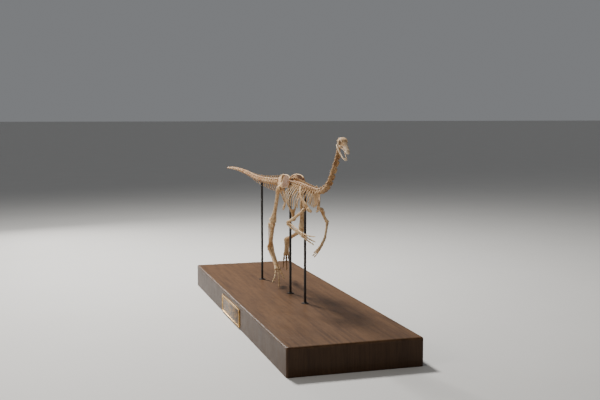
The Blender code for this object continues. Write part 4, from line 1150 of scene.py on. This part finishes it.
def hips():
    """Sacrum with both hip blades, and a stump for each pubis and ischium."""
    path = smooth_curve([up(p) for p in TRUNK_CURVE[:3]], 2 * SACRAL_COUNT + 1)
    span = path[2].x - path[0].x
    shells = []
    for n in range(SACRAL_COUNT):
        here = path[2 * n + 1]
        shells.append(vertebra(here, AHEAD, UPWARD, span, 0.0325, 0.84, 1.04))
        shells.append(blade(here, here + UPWARD * 0.062, span * 0.92, span * 0.90, 0.0085, AHEAD, 1.5))
        if n % 2:
            # bars from the sacrum out to the hip blades
            for hand in HANDS:
                end = path[2 * n] + Vector((0, hand * 0.082, 0.018))
                shells.append(blade(path[2 * n], end, span * 0.52, span * 0.76, 0.0120, AHEAD, 1.0))
    # the hip blade's outline: x, lower edge, upper edge, distance from the middle, half thickness
    rows = [
        (-0.268, 1.226, 1.258, 0.074, 0.004),
        (-0.250, 1.205, 1.300, 0.076, 0.0065),
        (-0.170, 1.200, 1.330, 0.081, 0.0085),
        (-0.050, 1.186, 1.348, 0.086, 0.0110),
        (0.060, 1.202, 1.352, 0.086, 0.0080),
        (0.160, 1.212, 1.348, 0.088, 0.0065),
        (0.225, 1.220, 1.325, 0.091, 0.0055),
        (0.246, 1.248, 1.286, 0.092, 0.0035),
    ]
    for hand in HANDS:
        lean = Vector((0, -hand * 0.20, 1.0)).normalized()
        stations = []
        for x, low, high, out, thick in refine(rows, 5):
            centre = up((x, TRUNK_Y + hand * out, (low + high) * 0.5))
            stations.append((centre, LEFTWARD * thick, lean * (high - low) * 0.5))
        shells.append(loft(stations, 28))
        # the rib of bone over the socket, the socket's thick rim, and a swollen top edge
        rib_at = up((-0.050, TRUNK_Y + hand * 0.0905, 1.285))
        rim_at = up((-0.060, TRUNK_Y + hand * 0.094, 1.236))
        shells.append(knob(rib_at, Vector((0.020, 0, 0.004)), LEFTWARD * 0.0125, Vector((0.010, 0, 0.062))))
        shells.append(knob(rim_at, AHEAD * 0.044, LEFTWARD * 0.013, UPWARD * 0.010))
        edge = [up((x, TRUNK_Y + hand * (out - 0.013), high - 0.004)) for x, _, high, out, _ in rows[1:-1]]
        shells.append(tube(smooth_curve(edge, 24), 0.0075, LEFTWARD, 10))
        for x in (PUBIS_X, ISCHIUM_X):
            top, low = (up((x, TRUNK_Y + hand * HIP_PLATE_OUT, z)) for z in (1.215, HIP_SEAM + 0.001))
            sizes = [(0.026, 0.014), (0.021, 0.014), (0.019, 0.013)]
            shells.append(tube([top, top.lerp(low, 0.5), low], sizes, AHEAD, 16))
    reach = LEFTWARD * 0.070
    sockets = [tube([up(HIP[side]) - reach, up(HIP[side]) + reach], 0.0300, AHEAD, 32) for side in SIDES]
    # painted shade on the front of the hip blades, which face away from the key light
    front_shade = (-0.070, 0.040, 0.0016)
    finish_bone("pelvis", shells, BONE, voxel=0.0027, swell=0.0014, cutters=sockets, darker=front_shade)


def hip_branches(x, middle, meet, spread, sizes):
    """The two bars of a pubis or ischium, from their stumps to where they meet. middle is (x, out, z)."""
    bars = []
    for hand in HANDS:
        top = up((x, TRUNK_Y + hand * HIP_PLATE_OUT, HIP_SEAM))
        bend = up((middle[0], TRUNK_Y + hand * middle[1], middle[2]))
        line = smooth_curve([top, bend, meet + LEFTWARD * hand * spread], 21)
        bars.append(tube(line, refine(sizes, 5), AHEAD, 14))
    return bars


def lower_hips():
    """The pubes with their boot, and the ischia."""
    meet = up((0.070, TRUNK_Y, 0.935))
    sizes = [(0.017, 0.013), (0.012, 0.010), (0.010, 0.009), (0.010, 0.010), (0.013, 0.012)]
    shells = hip_branches(PUBIS_X, (0.020, 0.072, 1.075), meet, 0.012, sizes)
    line = [meet + Vector((-0.003, 0, 0.03)), meet + Vector((0.008, 0, -0.03)), up((0.095, TRUNK_Y, 0.872))]
    sizes = [(0.012, 0.018), (0.012, 0.018), (0.0125, 0.019), (0.013, 0.020), (0.013, 0.020)]
    sizes += [(0.014, 0.019), (0.015, 0.019), (0.016, 0.018), (0.016, 0.018)]
    shells.append(tube(smooth_curve(line, 9), sizes, AHEAD, 16))
    boot = ((0.020, 0.838), (0.060, 0.846), (0.100, 0.860), (0.150, 0.876), (0.176, 0.890))
    line = smooth_curve([up((x, TRUNK_Y, z)) for x, z in boot], 17)
    sizes = [(0.006, 0.008), (0.014, 0.017), (0.020, 0.026), (0.019, 0.021), (0.008, 0.008)]
    shells.append(tube(line, refine(sizes, 4), LEFTWARD, 18))
    finish_bone("pubis", shells, BONE, voxel=0.0022, swell=0.0010)
    meet = up((-0.235, TRUNK_Y, 1.025))
    sizes = [(0.017, 0.013), (0.012, 0.010), (0.009, 0.008), (0.010, 0.009), (0.012, 0.011)]
    shells = hip_branches(ISCHIUM_X, (-0.158, 0.062, 1.105), meet, 0.010, sizes)
    line = [meet + Vector((0.012, 0, 0.014)), meet + Vector((-0.040, 0, -0.046))]
    line += [up((-0.318, TRUNK_Y, 0.938)), up((-0.330, TRUNK_Y, 0.918))]
    sizes = refine([(0.012, 0.012), (0.011, 0.012), (0.014, 0.020), (0.009, 0.011)], 5)
    shells.append(tube(smooth_curve(line, 16), sizes, LEFTWARD, 14))
    finish_bone("ischium", shells, BONE, voxel=0.0022, swell=0.0010)


TAIL_RUNS = {"tail_root": (0, 8), "tail_middle": (8, 19), "tail_tip": (19, CAUDAL_COUNT)}
# the tail's first vertebrae carry what its last ones have lost: how many have each form
SPINES, SIDE_BLADES, FLANGES, CHEVRONS = 20, 9, 22, 18
TAIL_ROD_AT = 12  # the rod's top takes the place of this vertebra's chevron


def tail_vertebra(here, way, span, n):
    """One tail vertebra with all that it still carries this far down the tail."""
    side = square_to(way, -LEFTWARD)
    rise = way.cross(side).normalized()
    s = (n + 0.5) / CAUDAL_COUNT
    radius = 0.0325 * (1.0 - s) ** 0.52 + 0.0050
    body = 0.031 * (1.0 - n / CAUDAL_COUNT) ** 0.55 + 0.0040
    # the arch over the nerve cord, with a groove between it and the body
    arch = rise * radius * (0.20 + 0.26 * max(0.0, 1.0 - n / 26.0))
    shells = [
        vertebra(here, way, rise, span, radius, 0.76 + 0.12 * s, 0.92 if n < CAUDAL_COUNT - 1 else 1.0),
        knob(here + rise * radius * 1.02, side * radius * 0.56, arch, way * span * 0.40),
    ]
    for hand in HANDS:
        # joint prongs over the vertebra behind; towards the tip they lock the tail into a stiff rod
        prong = here + rise * body * 0.98 + side * hand * body * 0.44 - way * span * 0.46
        shells.append(knob(prong, side * body * 0.17, rise * body * 0.20, way * span * (0.24 + 0.14 * s)))
        if SIDE_BLADES <= n < FLANGES:
            flange = here + side * hand * radius * 0.80
            shells.append(knob(flange, side * radius * 0.34, rise * radius * 0.20, way * span * 0.34))
        if n < SIDE_BLADES:
            reach = body + 0.042 * (1.0 - n / 11.0) * min(1.0, 0.5 + n)
            end = here + side * hand * reach + way * 0.010
            shells.append(blade(here, end, span * 0.52, span * 0.34, 0.0065, way, 1.0))
    if n < SPINES:
        top = here + rise * (body + 0.006 + 0.046 * max(1.0 - n / 18.0, 0.02) ** 0.7) + way * 0.020
        shells.append(blade(here, top, span, span * 0.24, 0.0088 * (1.0 - 0.5 * s), way, 1.1))
    if 1 <= n < CHEVRONS and n != TAIL_ROD_AT:
        drop = 0.086 * (1.0 - n / 19.0) + 0.008
        base = here - rise * body * 0.4 - way * span * 0.30
        knee = base - rise * (body * 0.6 + drop * 0.45) + way * drop * 0.12
        low = base - rise * (body * 0.6 + drop) + way * drop * 0.72
        lengths = (0.0105, 0.0100, 0.0092, 0.0086, 0.0082, 0.0082, 0.0086, 0.0088, 0.0060)
        girths = (0.0078, 0.0070, 0.0062, 0.0056, 0.0053, 0.0052, 0.0054, 0.0056, 0.0040)
        shells.append(tube(smooth_curve([base, knee, low], 9), list(zip(girths, lengths)), side, 12))
    return shells


def tail():
    path = smooth_curve([up(p) for p in TAIL_CURVE], 2 * CAUDAL_COUNT + 1)
    for name, (first, last) in TAIL_RUNS.items():
        shells = []
        for n in range(first, last):
            k = 2 * n + 1
            shells += tail_vertebra(path[k], tangent(path, k), (path[k + 1] - path[k - 1]).length, n)
        finish_bone(name, shells, BONE_SPINE, voxel=0.0018 if name == "tail_tip" else 0.0024, swell=0.0009)


# ================================================================ skull
def head_axes(opened=0.0):
    """Forward and up of the head, or of the jaw when it is opened by an angle."""
    pitch = SKULL_PITCH - opened
    return Vector((math.cos(pitch), 0.0, math.sin(pitch))), Vector((-math.sin(pitch), 0.0, math.cos(pitch)))


def head_point(x, y, z):
    """A point of the head: x forward from the back of the skull, y to its left, z up."""
    fore, rise = head_axes()
    return up(SKULL_BACK) + fore * x + Vector((0.0, y, 0.0)) + rise * z


def head_bar(points, radii, hand=1.0, sides=12):
    """A thin bar of the skull through (x, y, z) head points; hand -1 mirrors it to the right side."""
    line = [head_point(x, y * hand, z) for x, y, z in points]
    count = 6 * (len(points) - 1) + 1
    sizes = [row[0] for row in refine([(r,) for r in radii], 6)]
    return tube(smooth_curve(line, count), sizes, Vector((0, 1, 0.01)), sides)


def window(x, z, long_half, tall_half, hand, width, depth):
    """A cutter for one opening in the side wall of the skull."""
    fore, rise = head_axes()
    stations = []
    for share, spread in ((0.0, 0.86), (0.5, 0.98), (1.0, 1.14)):
        centre = head_point(x, hand * (width - depth + share * 2.0 * depth), z)
        stations.append((centre, fore * long_half * spread, rise * tall_half * spread))
    return loft(stations, 26)


SKULL_SQUARE = 0.30
SKULL_WALL = 0.0046
# distance forward, half width, lower edge, upper edge
SKULL_ROWS = [
    (0.002, 0.0160, -0.0060, 0.0200),
    (0.016, 0.0315, -0.0260, 0.0370),
    (0.040, 0.0378, -0.0400, 0.0460),
    (0.066, 0.0378, -0.0440, 0.0505),
    (0.090, 0.0358, -0.0430, 0.0500),
    (0.108, 0.0315, -0.0415, 0.0440),
    (0.126, 0.0275, -0.0410, 0.0340),
    (0.150, 0.0245, -0.0400, 0.0225),
    (0.180, 0.0225, -0.0400, 0.0105),
    (0.210, 0.0208, -0.0405, -0.0010),
    (0.236, 0.0180, -0.0420, -0.0110),
    (SKULL_LENGTH, 0.0095, -0.0420, -0.0250),
]
SKULL_FINE = refine(SKULL_ROWS, 5)
EYE = (0.088, 0.010)
# the space under the palate: x, half width, half height
THROAT = [(0.020, 0.020, 0.034), (0.070, 0.028, 0.040), (0.130, 0.019, 0.032), (0.220, 0.007, 0.021)]
# the openings of each side: x, z, half length, half height, place out from the middle, half depth of the cut
WINDOWS = [
    (*EYE, 0.0255, 0.0245, 0.040, 0.022),
    (0.139, -0.0125, 0.0160, 0.0115, 0.030, 0.020),
    (0.1635, -0.0200, 0.0050, 0.0050, 0.026, 0.016),
    (0.040, 0.000, 0.0115, 0.0190, 0.038, 0.020),
    (0.201, -0.0195, 0.0140, 0.0050, 0.020, 0.012),
]
# the flat roof that shelves over the eyes: x, half width, depth of its middle under the skull's top
ROOF = [
    (0.040, 0.024, 0.0046),
    (0.060, 0.0288, 0.0058),
    (0.080, 0.0312, 0.0068),
    (0.098, 0.0312, 0.0076),
    (0.112, 0.0276, 0.0080),
    (0.126, 0.0205, 0.0076),
]
# bars on the side wall, (x, z, radius) at each spot: the swelling in front of the eye at the brow's end, and
# the posts behind the eye, in front of it and in front of the next window
BROW = [
    (0.060, 0.0300, 0.0030),
    (0.074, 0.0370, 0.0044),
    (0.090, 0.0395, 0.0050),
    (0.104, 0.0365, 0.0056),
    (0.116, 0.0290, 0.0048),
    (0.122, 0.0180, 0.0030),
]
POSTS = [
    [(0.058, 0.030, 0.0032), (0.0575, 0.000, 0.0026), (0.060, -0.030, 0.0034)],
    [(0.118, 0.020, 0.0034), (0.121, -0.006, 0.0024), (0.118, -0.032, 0.0032)],
    [(0.160, 0.002, 0.0020), (0.156, -0.012, 0.0018), (0.153, -0.030, 0.0022)],
]
# the long lower bar, from the beak to the jaw joint
LOWER_BAR = [
    (0.248, -0.0385, 0.0032),
    (0.236, -0.0375, 0.0042),
    (0.205, -0.0355, 0.0042),
    (0.170, -0.0350, 0.0040),
    (0.130, -0.0350, 0.0042),
    (0.090, -0.0355, 0.0048),
    (0.055, -0.0350, 0.0048),
    (0.026, -0.0330, 0.0046),
]


def skull_row(x):
    """The skull's outline nearest to a distance forward."""
    return min(SKULL_FINE, key=lambda fine: abs(fine[0] - x))


def wall_at(x, z):
    """How far the skull's side wall is from the middle at one spot of its profile."""
    _, wide, low, high = skull_row(x)
    share = min(abs(z - (low + high) * 0.5) / ((high - low) * 0.5), 0.985)
    turn = math.asin(share ** (1.0 / (1.0 - SKULL_SQUARE)))
    return wide * math.cos(turn) ** (1.0 - SKULL_SQUARE)


def wall_bar(spots, hand, sink=0.0008, sides=12):
    """A bar of bone lying on the skull's side wall through (x, z, radius) spots."""
    points = [(x, wall_at(x, z) - sink, z) for x, z, _ in spots]
    return head_bar(points, [spot[2] for spot in spots], hand, sides)


def skull_cutters():
    """The hollow inside, the windows, the space under the palate and the hole for the nerve cord."""
    fore, rise = head_axes()
    side = LEFTWARD
    inner = []
    for x, wide, low, high in SKULL_FINE:
        if 0.026 < x < 0.236:
            half_wide, half_tall = (max(half - SKULL_WALL, 0.003) for half in (wide, (high - low) * 0.5))
            inner.append((head_point(x, 0, (low + high) * 0.5), side * half_wide, rise * half_tall))
    cutters = [loft(inner, 36, SKULL_SQUARE)]
    for hand in HANDS:
        for x, z, long_half, tall_half, width, depth in WINDOWS:
            cutters.append(window(x, z, long_half, tall_half, hand, width, depth))
        # the upper window behind the brow
        top = head_point(0.036, hand * 0.0165, 0.046)
        low, high = top - rise * 0.020, top + rise * 0.012
        cutters.append(loft([(low, fore * 0.009, side * 0.0065), (high, fore * 0.012, side * 0.0090)], 20))
    throat = []
    for x, wide, tall in THROAT:
        throat.append((head_point(x, 0, -0.056), side * wide, rise * tall))
    cutters.append(loft(throat, 24))
    cord = head_point(-0.004, 0, 0.009)
    hole = [(cord, side * 0.0062, rise * 0.0056), (cord + fore * 0.020, side * 0.0056, rise * 0.0050)]
    cutters.append(loft(hole, 20))
    return cutters


def skull():
    """Skull with open eye sockets, side windows, nostrils and a hollow under the palate."""
    fore, rise = head_axes()
    side = LEFTWARD
    outer = []
    for x, wide, low, high in SKULL_FINE:
        outer.append((head_point(x, 0, (low + high) * 0.5), side * wide, rise * (high - low) * 0.5))
    wall = gather("skull_wall", [loft(outer, 44, SKULL_SQUARE)])
    carve(wall, skull_cutters())
    skin = bmesh.new()
    skin.from_mesh(wall.data)
    bpy.data.objects.remove(wall, do_unlink=True)
    shelf = []
    for x, wide, drop in refine(ROOF, 4):
        shelf.append((head_point(x, 0, skull_row(x)[3] - drop), side * wide, rise * 0.0058))
    # after the roof: the braincase behind the eyes, the joint ball under the nerve cord, a keel and a crest
    shells = [
        skin,
        loft(shelf, 32, 0.10),
        knob(head_point(0.036, 0, 0.010), side * 0.0170, rise * 0.020, fore * 0.026),
        knob(head_point(0.062, 0, 0.024), side * 0.0175, rise * 0.015, fore * 0.022),
        knob(head_point(0.000, 0, -0.004), side * 0.0068, rise * 0.0056, fore * 0.0075),
        head_bar([(0.030, 0, -0.012), (0.075, 0, -0.018), (0.115, 0, -0.024)], [0.007, 0.004, 0.003]),
        head_bar([(0.020, 0, 0.0365), (0.050, 0, 0.0475), (0.082, 0, 0.0495)], [0.0030, 0.0028, 0.0016]),
    ]
    rim = []
    for k in range(17):
        turn = 2 * math.pi * k / 16.0
        rim.append((EYE[0] + 0.0268 * math.cos(turn), EYE[1] + 0.0256 * math.sin(turn), 0.0025))
    corner = [(0.024, 0.027, 0.018), (0.019, 0.029, -0.008), (0.021, 0.0295, -0.038)]
    palate = [(0.036, 0.018, -0.026), (0.080, 0.015, -0.030), (0.130, 0.011, -0.031), (0.180, 0.006, -0.034)]
    for hand in HANDS:
        brow_at = head_point(0.107, hand * (wall_at(0.107, 0.0345) + 0.0030), 0.0345)
        joint_at = head_point(0.020, hand * 0.0300, -0.0420)
        root, end = head_point(0.020, hand * 0.014, 0.012), head_point(0.0065, hand * 0.0335, -0.004)
        shells += [
            wall_bar(rim, hand, 0.0006, 10),
            wall_bar(BROW, hand, -0.0006),
            knob(brow_at, side * 0.0058, rise * 0.0048, fore * 0.0135),
            wall_bar(LOWER_BAR, hand, 0.0022),
            # the back corner with the jaw joint's knob and its wing, and the bars of the palate
            head_bar(corner, [0.0056, 0.0042, 0.0058], hand),
            knob(joint_at, side * 0.0080, rise * 0.0050, fore * 0.0062),
            blade(root, end, 0.024, 0.015, 0.0042, rise, 1.0),
            head_bar(palate, [0.0030, 0.0036, 0.0032, 0.0026], hand),
        ]
        shells += [wall_bar(post, hand) for post in POSTS]
    finish_bone("skull", shells, BONE_SKULL, voxel=0.0013, slot="bone_skull", swell=0.0005, pit=0.0004)


def jaw():
    """Lower jaw: both branches meeting at a toothless beak, with a window in each."""
    fore, rise = head_axes(JAW_OPEN)
    pivot = head_point(0.012, 0, -0.044)

    def spot(x, y, z):
        """A head point, turned down with the jaw about its joint."""
        return pivot + fore * (x - 0.012) + Vector((0, y, 0)) + rise * (z + 0.044)

    # x, distance from the middle, z, half thickness and half height of a branch
    rows = [
        (-0.010, 0.0295, -0.0485, 0.0026, 0.0030),
        (0.004, 0.0305, -0.0515, 0.0045, 0.0080),
        (0.030, 0.032, -0.050, 0.0050, 0.013),
        (0.075, 0.029, -0.054, 0.0042, 0.014),
        (0.125, 0.022, -0.056, 0.0040, 0.010),
        (0.180, 0.0165, -0.0560, 0.0042, 0.0078),
        (0.206, 0.0125, -0.0525, 0.0048, 0.0058),
        (0.222, 0.0070, -0.0500, 0.0046, 0.0040),
    ]
    reach = LEFTWARD * 0.009
    shells, cutters = [], []
    for hand in HANDS:
        stations = []
        for x, y, z, thick, tall in refine(rows, 5):
            stations.append((spot(x, hand * y, z), LEFTWARD * thick, rise * tall))
        rim = [spot(x, hand * (y + 0.001), z - tall * 0.72) for x, y, z, thick, tall in rows[1:]]
        shells += [
            loft(stations, 20),
            knob(spot(0.014, hand * 0.0305, -0.0465), LEFTWARD * 0.0070, rise * 0.0042, fore * 0.0080),
            tube(smooth_curve(rim, 26), 0.0032, LEFTWARD, 10),
        ]
        hole = spot(0.062, hand * 0.030, -0.051)
        cutters.append(loft([(hole + step, fore * 0.0095, rise * 0.0042) for step in (-reach, reach)], 20))
    tip, end = spot(0.196, 0, -0.056), spot(0.2262, 0, -0.050)
    beak = [
        (tip - fore * 0.012, 0.0150, 0.0022),
        (tip, 0.0165, 0.0036),
        (tip.lerp(end, 0.6), 0.0145, 0.0048),
        (tip.lerp(end, 0.9), 0.0105, 0.0042),
        (end, 0.0060, 0.0028),
    ]
    shells.append(loft([(centre, LEFTWARD * wide, rise * tall) for centre, wide, tall in beak], 24))
    wear = {"rounds": 1, "swell": 0.0004, "pit": 0.0003}
    finish_bone("jaw", shells, BONE_SKULL, voxel=0.0013, slot="bone_skull", cutters=cutters, **wear)


# ================================================================ stand
def brick(centre, size, turn=0.0):
    """A box of the given size, turned about its upright axis."""
    bm = bmesh.new()
    shape = Matrix.Rotation(turn, 4, "Z") @ Matrix.Diagonal((*size, 1.0))
    bmesh.ops.create_cube(bm, size=1.0, matrix=Matrix.Translation(centre) @ shape)
    return bm


def soften(bm, edges, width, segments):
    bmesh.ops.bevel(bm, geom=edges, offset=width, segments=segments, profile=0.5, affect="EDGES", material=-1)


def board():
    bm = brick((0, 0, BOARD_HEIGHT * 0.5), (BOARD_LENGTH, BOARD_WIDTH, BOARD_HEIGHT))
    soften(bm, [edge for edge in bm.edges if max(vert.co.z for vert in edge.verts) >= 0.01], BOARD_BEVEL, 8)
    soften(bm, [edge for edge in bm.edges if max(vert.co.z for vert in edge.verts) < 0.001], 0.004, 3)
    obj = gather("wooden_board", [bm])
    obj.data.shade_smooth()
    modifier(obj, "faces", "WEIGHTED_NORMAL", keep_sharp=True)
    place(settle(obj), WOOD, ["board"])


def turned(rows, centre, steps=48):
    """A round piece spun about an upright axis from (radius, height) rows."""
    bm = bmesh.new()
    chain = [bm.verts.new(centre + Vector((radius, 0, height))) for radius, height in rows]
    for a, b in zip(chain, chain[1:]):
        bm.edges.new((a, b))
    spun = {"geom": list(bm.verts) + list(bm.edges), "steps": steps, "use_merge": True}
    bmesh.ops.spin(bm, cent=centre, axis=UPWARD, angle=2 * math.pi, **spun)
    bmesh.ops.remove_doubles(bm, verts=bm.verts, dist=1e-5)
    holes = [edge for edge in bm.edges if edge.is_boundary]
    if holes:
        bmesh.ops.holes_fill(bm, edges=holes, sides=0)
    bmesh.ops.recalc_face_normals(bm, faces=bm.faces)
    return bm


def fit_on(obj, mat, nodes, angle=35):
    """Puts a stand piece on the mount, shaded smooth but for corners sharper than the angle in degrees."""
    bm = bmesh.new()
    bm.from_mesh(obj.data)
    for face in bm.faces:
        face.smooth = True
    for edge in bm.edges:
        edge.smooth = len(edge.link_faces) == 2 and edge.calc_face_angle(0.0) < math.radians(angle)
    bm.to_mesh(obj.data)
    bm.free()
    place(obj, mat, nodes)


def rods():
    """The upright rods, their round foot plates, and four slotted screws in each plate."""
    bore = ROD_RADIUS + GAP * 3
    flange = [
        (bore, 0.0),
        (FLANGE_RADIUS - 0.0006, 0.0),
        (FLANGE_RADIUS, 0.0008),
        (FLANGE_RADIUS, 0.0042),
        (FLANGE_RADIUS - 0.0012, 0.0054),
        (0.0240, 0.0072),
        (0.0195, 0.0086),
        (0.0180, 0.0110),
        (0.0176, 0.0132),
        (0.0168, FLANGE_HEIGHT),
        (bore, FLANGE_HEIGHT),
        (bore, 0.0),
    ]
    dome = [(0.0, -0.0010), (0.0042, -0.0010), (0.0043, 0.0006)]
    dome += [(0.0036, 0.0017), (0.0020, 0.0024), (0.0, 0.0026)]
    for name, (x, y) in ROD_FEET.items():
        foot_at = Vector((x, y, BOARD_HEIGHT + GAP))
        height = ROD_TOPS[name] - GAP
        rod = [
            (0.0, 0.0),
            (ROD_RADIUS, 0.0),
            (ROD_RADIUS, height - 0.0060),
            (ROD_RADIUS - 0.0016, height - 0.0020),
            (ROD_RADIUS - 0.0055, height),
            (0.0, height),
        ]
        fit_on(gather("post_" + name, [turned(rod, foot_at)]), STEEL, ["rod_" + name])
        ring = gather("foot_plate_" + name, [turned(flange, foot_at, 64)])
        fit_on(ring, STEEL, ["flange_" + name])
        screws, slots = [], []
        for k in range(4):
            turn = math.pi * (0.25 + 0.5 * k) + 0.2
            spot = foot_at + Vector((math.cos(turn), math.sin(turn), 0)) * 0.0305 + UPWARD * 0.0056
            screws.append(turned(dome, spot, 20))
            slots.append(brick(spot + UPWARD * 0.0026, (0.0100, 0.0010, 0.0026), turn * 2.3))
        fit_on(carve(gather("screws_" + name, screws), slots), STEEL, ["flange_" + name])


# the plate's face from its edge inwards, as (width, step out): the flat rim, the drop to the field, and a
# fine raised line round the field
PLAQUE_STEPS = [
    (0.0105, 0.0),
    (0.0032, -0.0040),
    (0.0060, 0.0),
    (0.0012, 0.0012),
    (0.0016, 0.0),
    (0.0012, -0.0012),
]
PLAQUE_FIELD_INSET = 0.0246
PIN_INSET = 0.030


def plaque():
    """A bare brass plate with a raised rim and four small pins, on the board's right side."""
    y = -BOARD_WIDTH * 0.5 - GAP - PLAQUE_THICK * 0.5
    z = BOARD_HEIGHT - PLAQUE_DROP - PLAQUE_HEIGHT * 0.5
    front = y - PLAQUE_THICK * 0.5
    bm = brick((PLAQUE_CENTRE_X, y, z), (PLAQUE_LENGTH, PLAQUE_THICK, PLAQUE_HEIGHT))
    face = min(bm.faces, key=lambda f: f.calc_center_median().y)
    for width, step in PLAQUE_STEPS:
        bmesh.ops.inset_region(bm, faces=[face], thickness=width, depth=step)
    soften(bm, [edge for edge in bm.edges if edge.calc_face_angle(0.0) > 1.2], 0.0011, 3)
    fit_on(gather("brass_plate", [bm]), BRASS, ["plaque"], 50)
    inset = 2 * PLAQUE_FIELD_INSET
    # the sunken field, coloured dark as a painted reflection of dark surroundings
    size = (PLAQUE_LENGTH - inset, 0.0010, PLAQUE_HEIGHT - inset)
    field = brick((PLAQUE_CENTRE_X, front + 0.0036, z), size)
    soften(field, list(field.edges), 0.0003, 2)
    fit_on(gather("brass_field", [field]), BRASS_FIELD_REFLECTION, ["plaque"], 50)
    pins = []
    for hand_x in HANDS:
        for hand_z in HANDS:
            pin_x = PLAQUE_CENTRE_X + hand_x * (PLAQUE_LENGTH * 0.5 - PIN_INSET)
            spot = Vector((pin_x, front + 0.0040, z + hand_z * (PLAQUE_HEIGHT * 0.5 - PIN_INSET)))
            pins.append(knob(spot, AHEAD * 0.0052, UPWARD * 0.0052, LEFTWARD * -0.0034))
    studs = gather("brass_pins", pins)
    studs.data.shade_smooth()
    place(studs, BRASS, ["plaque"])


# ================================================================ build
for side in SIDES:
    femur(side)
    shin(side)
    foot(side)
    shoulder(side)
    upper_arm(side)
    hand_of(side, forearm(side))
neck()
back()
hips()
lower_hips()
tail()
skull()
jaw()
board()
rods()
plaque()


# ================================================================ floor, light and camera
FLOOR_HALF = 300.0
floor_bm = bmesh.new()
bmesh.ops.create_grid(floor_bm, x_segments=2, y_segments=2, size=FLOOR_HALF)
floor = gather("floor", [floor_bm])
floor.data.materials.append(pale_paint("pale_floor", (206, 204, 200), (200, 198, 194)))


def area_light(name, toward, target, size, energy, tint, distance=9.0):
    """A round lamp that the camera doesn't see, set off from its target and facing it."""
    lamp = bpy.data.lights.new(name, "AREA")
    lamp.shape = "DISK"
    lamp.size = size
    lamp.energy = energy
    lamp.color = tint
    obj = bpy.data.objects.new(name, lamp)
    aim = Vector(toward).normalized()
    obj.location = Vector(target) + aim * distance
    obj.rotation_euler = aim.to_track_quat("Z", "Y").to_euler()
    obj.visible_camera = False
    bpy.context.scene.collection.objects.link(obj)


area_light("key_light", (-0.59, -0.21, 1.0), (0.0, 0.0, 1.0), 1.8, 1750.0, (1.0, 0.99, 0.97))
area_light("side_fill", (0.50, -1.0, 0.45), (0.0, 0.0, 0.9), 4.0, 200.0, (1.0, 0.92, 0.82))
area_light("rim_light", (-0.93, -0.30, 0.26), (0.0, -0.3, 0.6), 2.6, 210.0, (1.0, 0.98, 0.95))

world = bpy.data.worlds.new("studio")
world.use_nodes = True
back_node = world.node_tree.nodes["Background"]
back_node.inputs["Color"].default_value = (0.72, 0.74, 0.77, 1.0)
back_node.inputs["Strength"].default_value = 0.28
bpy.context.scene.world = world

CAMERA_AT = (9.390, -2.668, 2.281)
CAMERA_TURN = math.radians(-16.61)
CAMERA_DROP = math.radians(5.53)
lens = bpy.data.cameras.new("camera")
lens.lens = 52.76
lens.sensor_width = 36.0
camera = bpy.data.objects.new("camera", lens)
camera.location = CAMERA_AT
level = math.cos(CAMERA_DROP)
look = Vector((-math.cos(CAMERA_TURN) * level, -math.sin(CAMERA_TURN) * level, -math.sin(CAMERA_DROP)))
camera.rotation_euler = look.to_track_quat("-Z", "Y").to_euler()
bpy.context.scene.collection.objects.link(camera)
bpy.context.scene.camera = camera
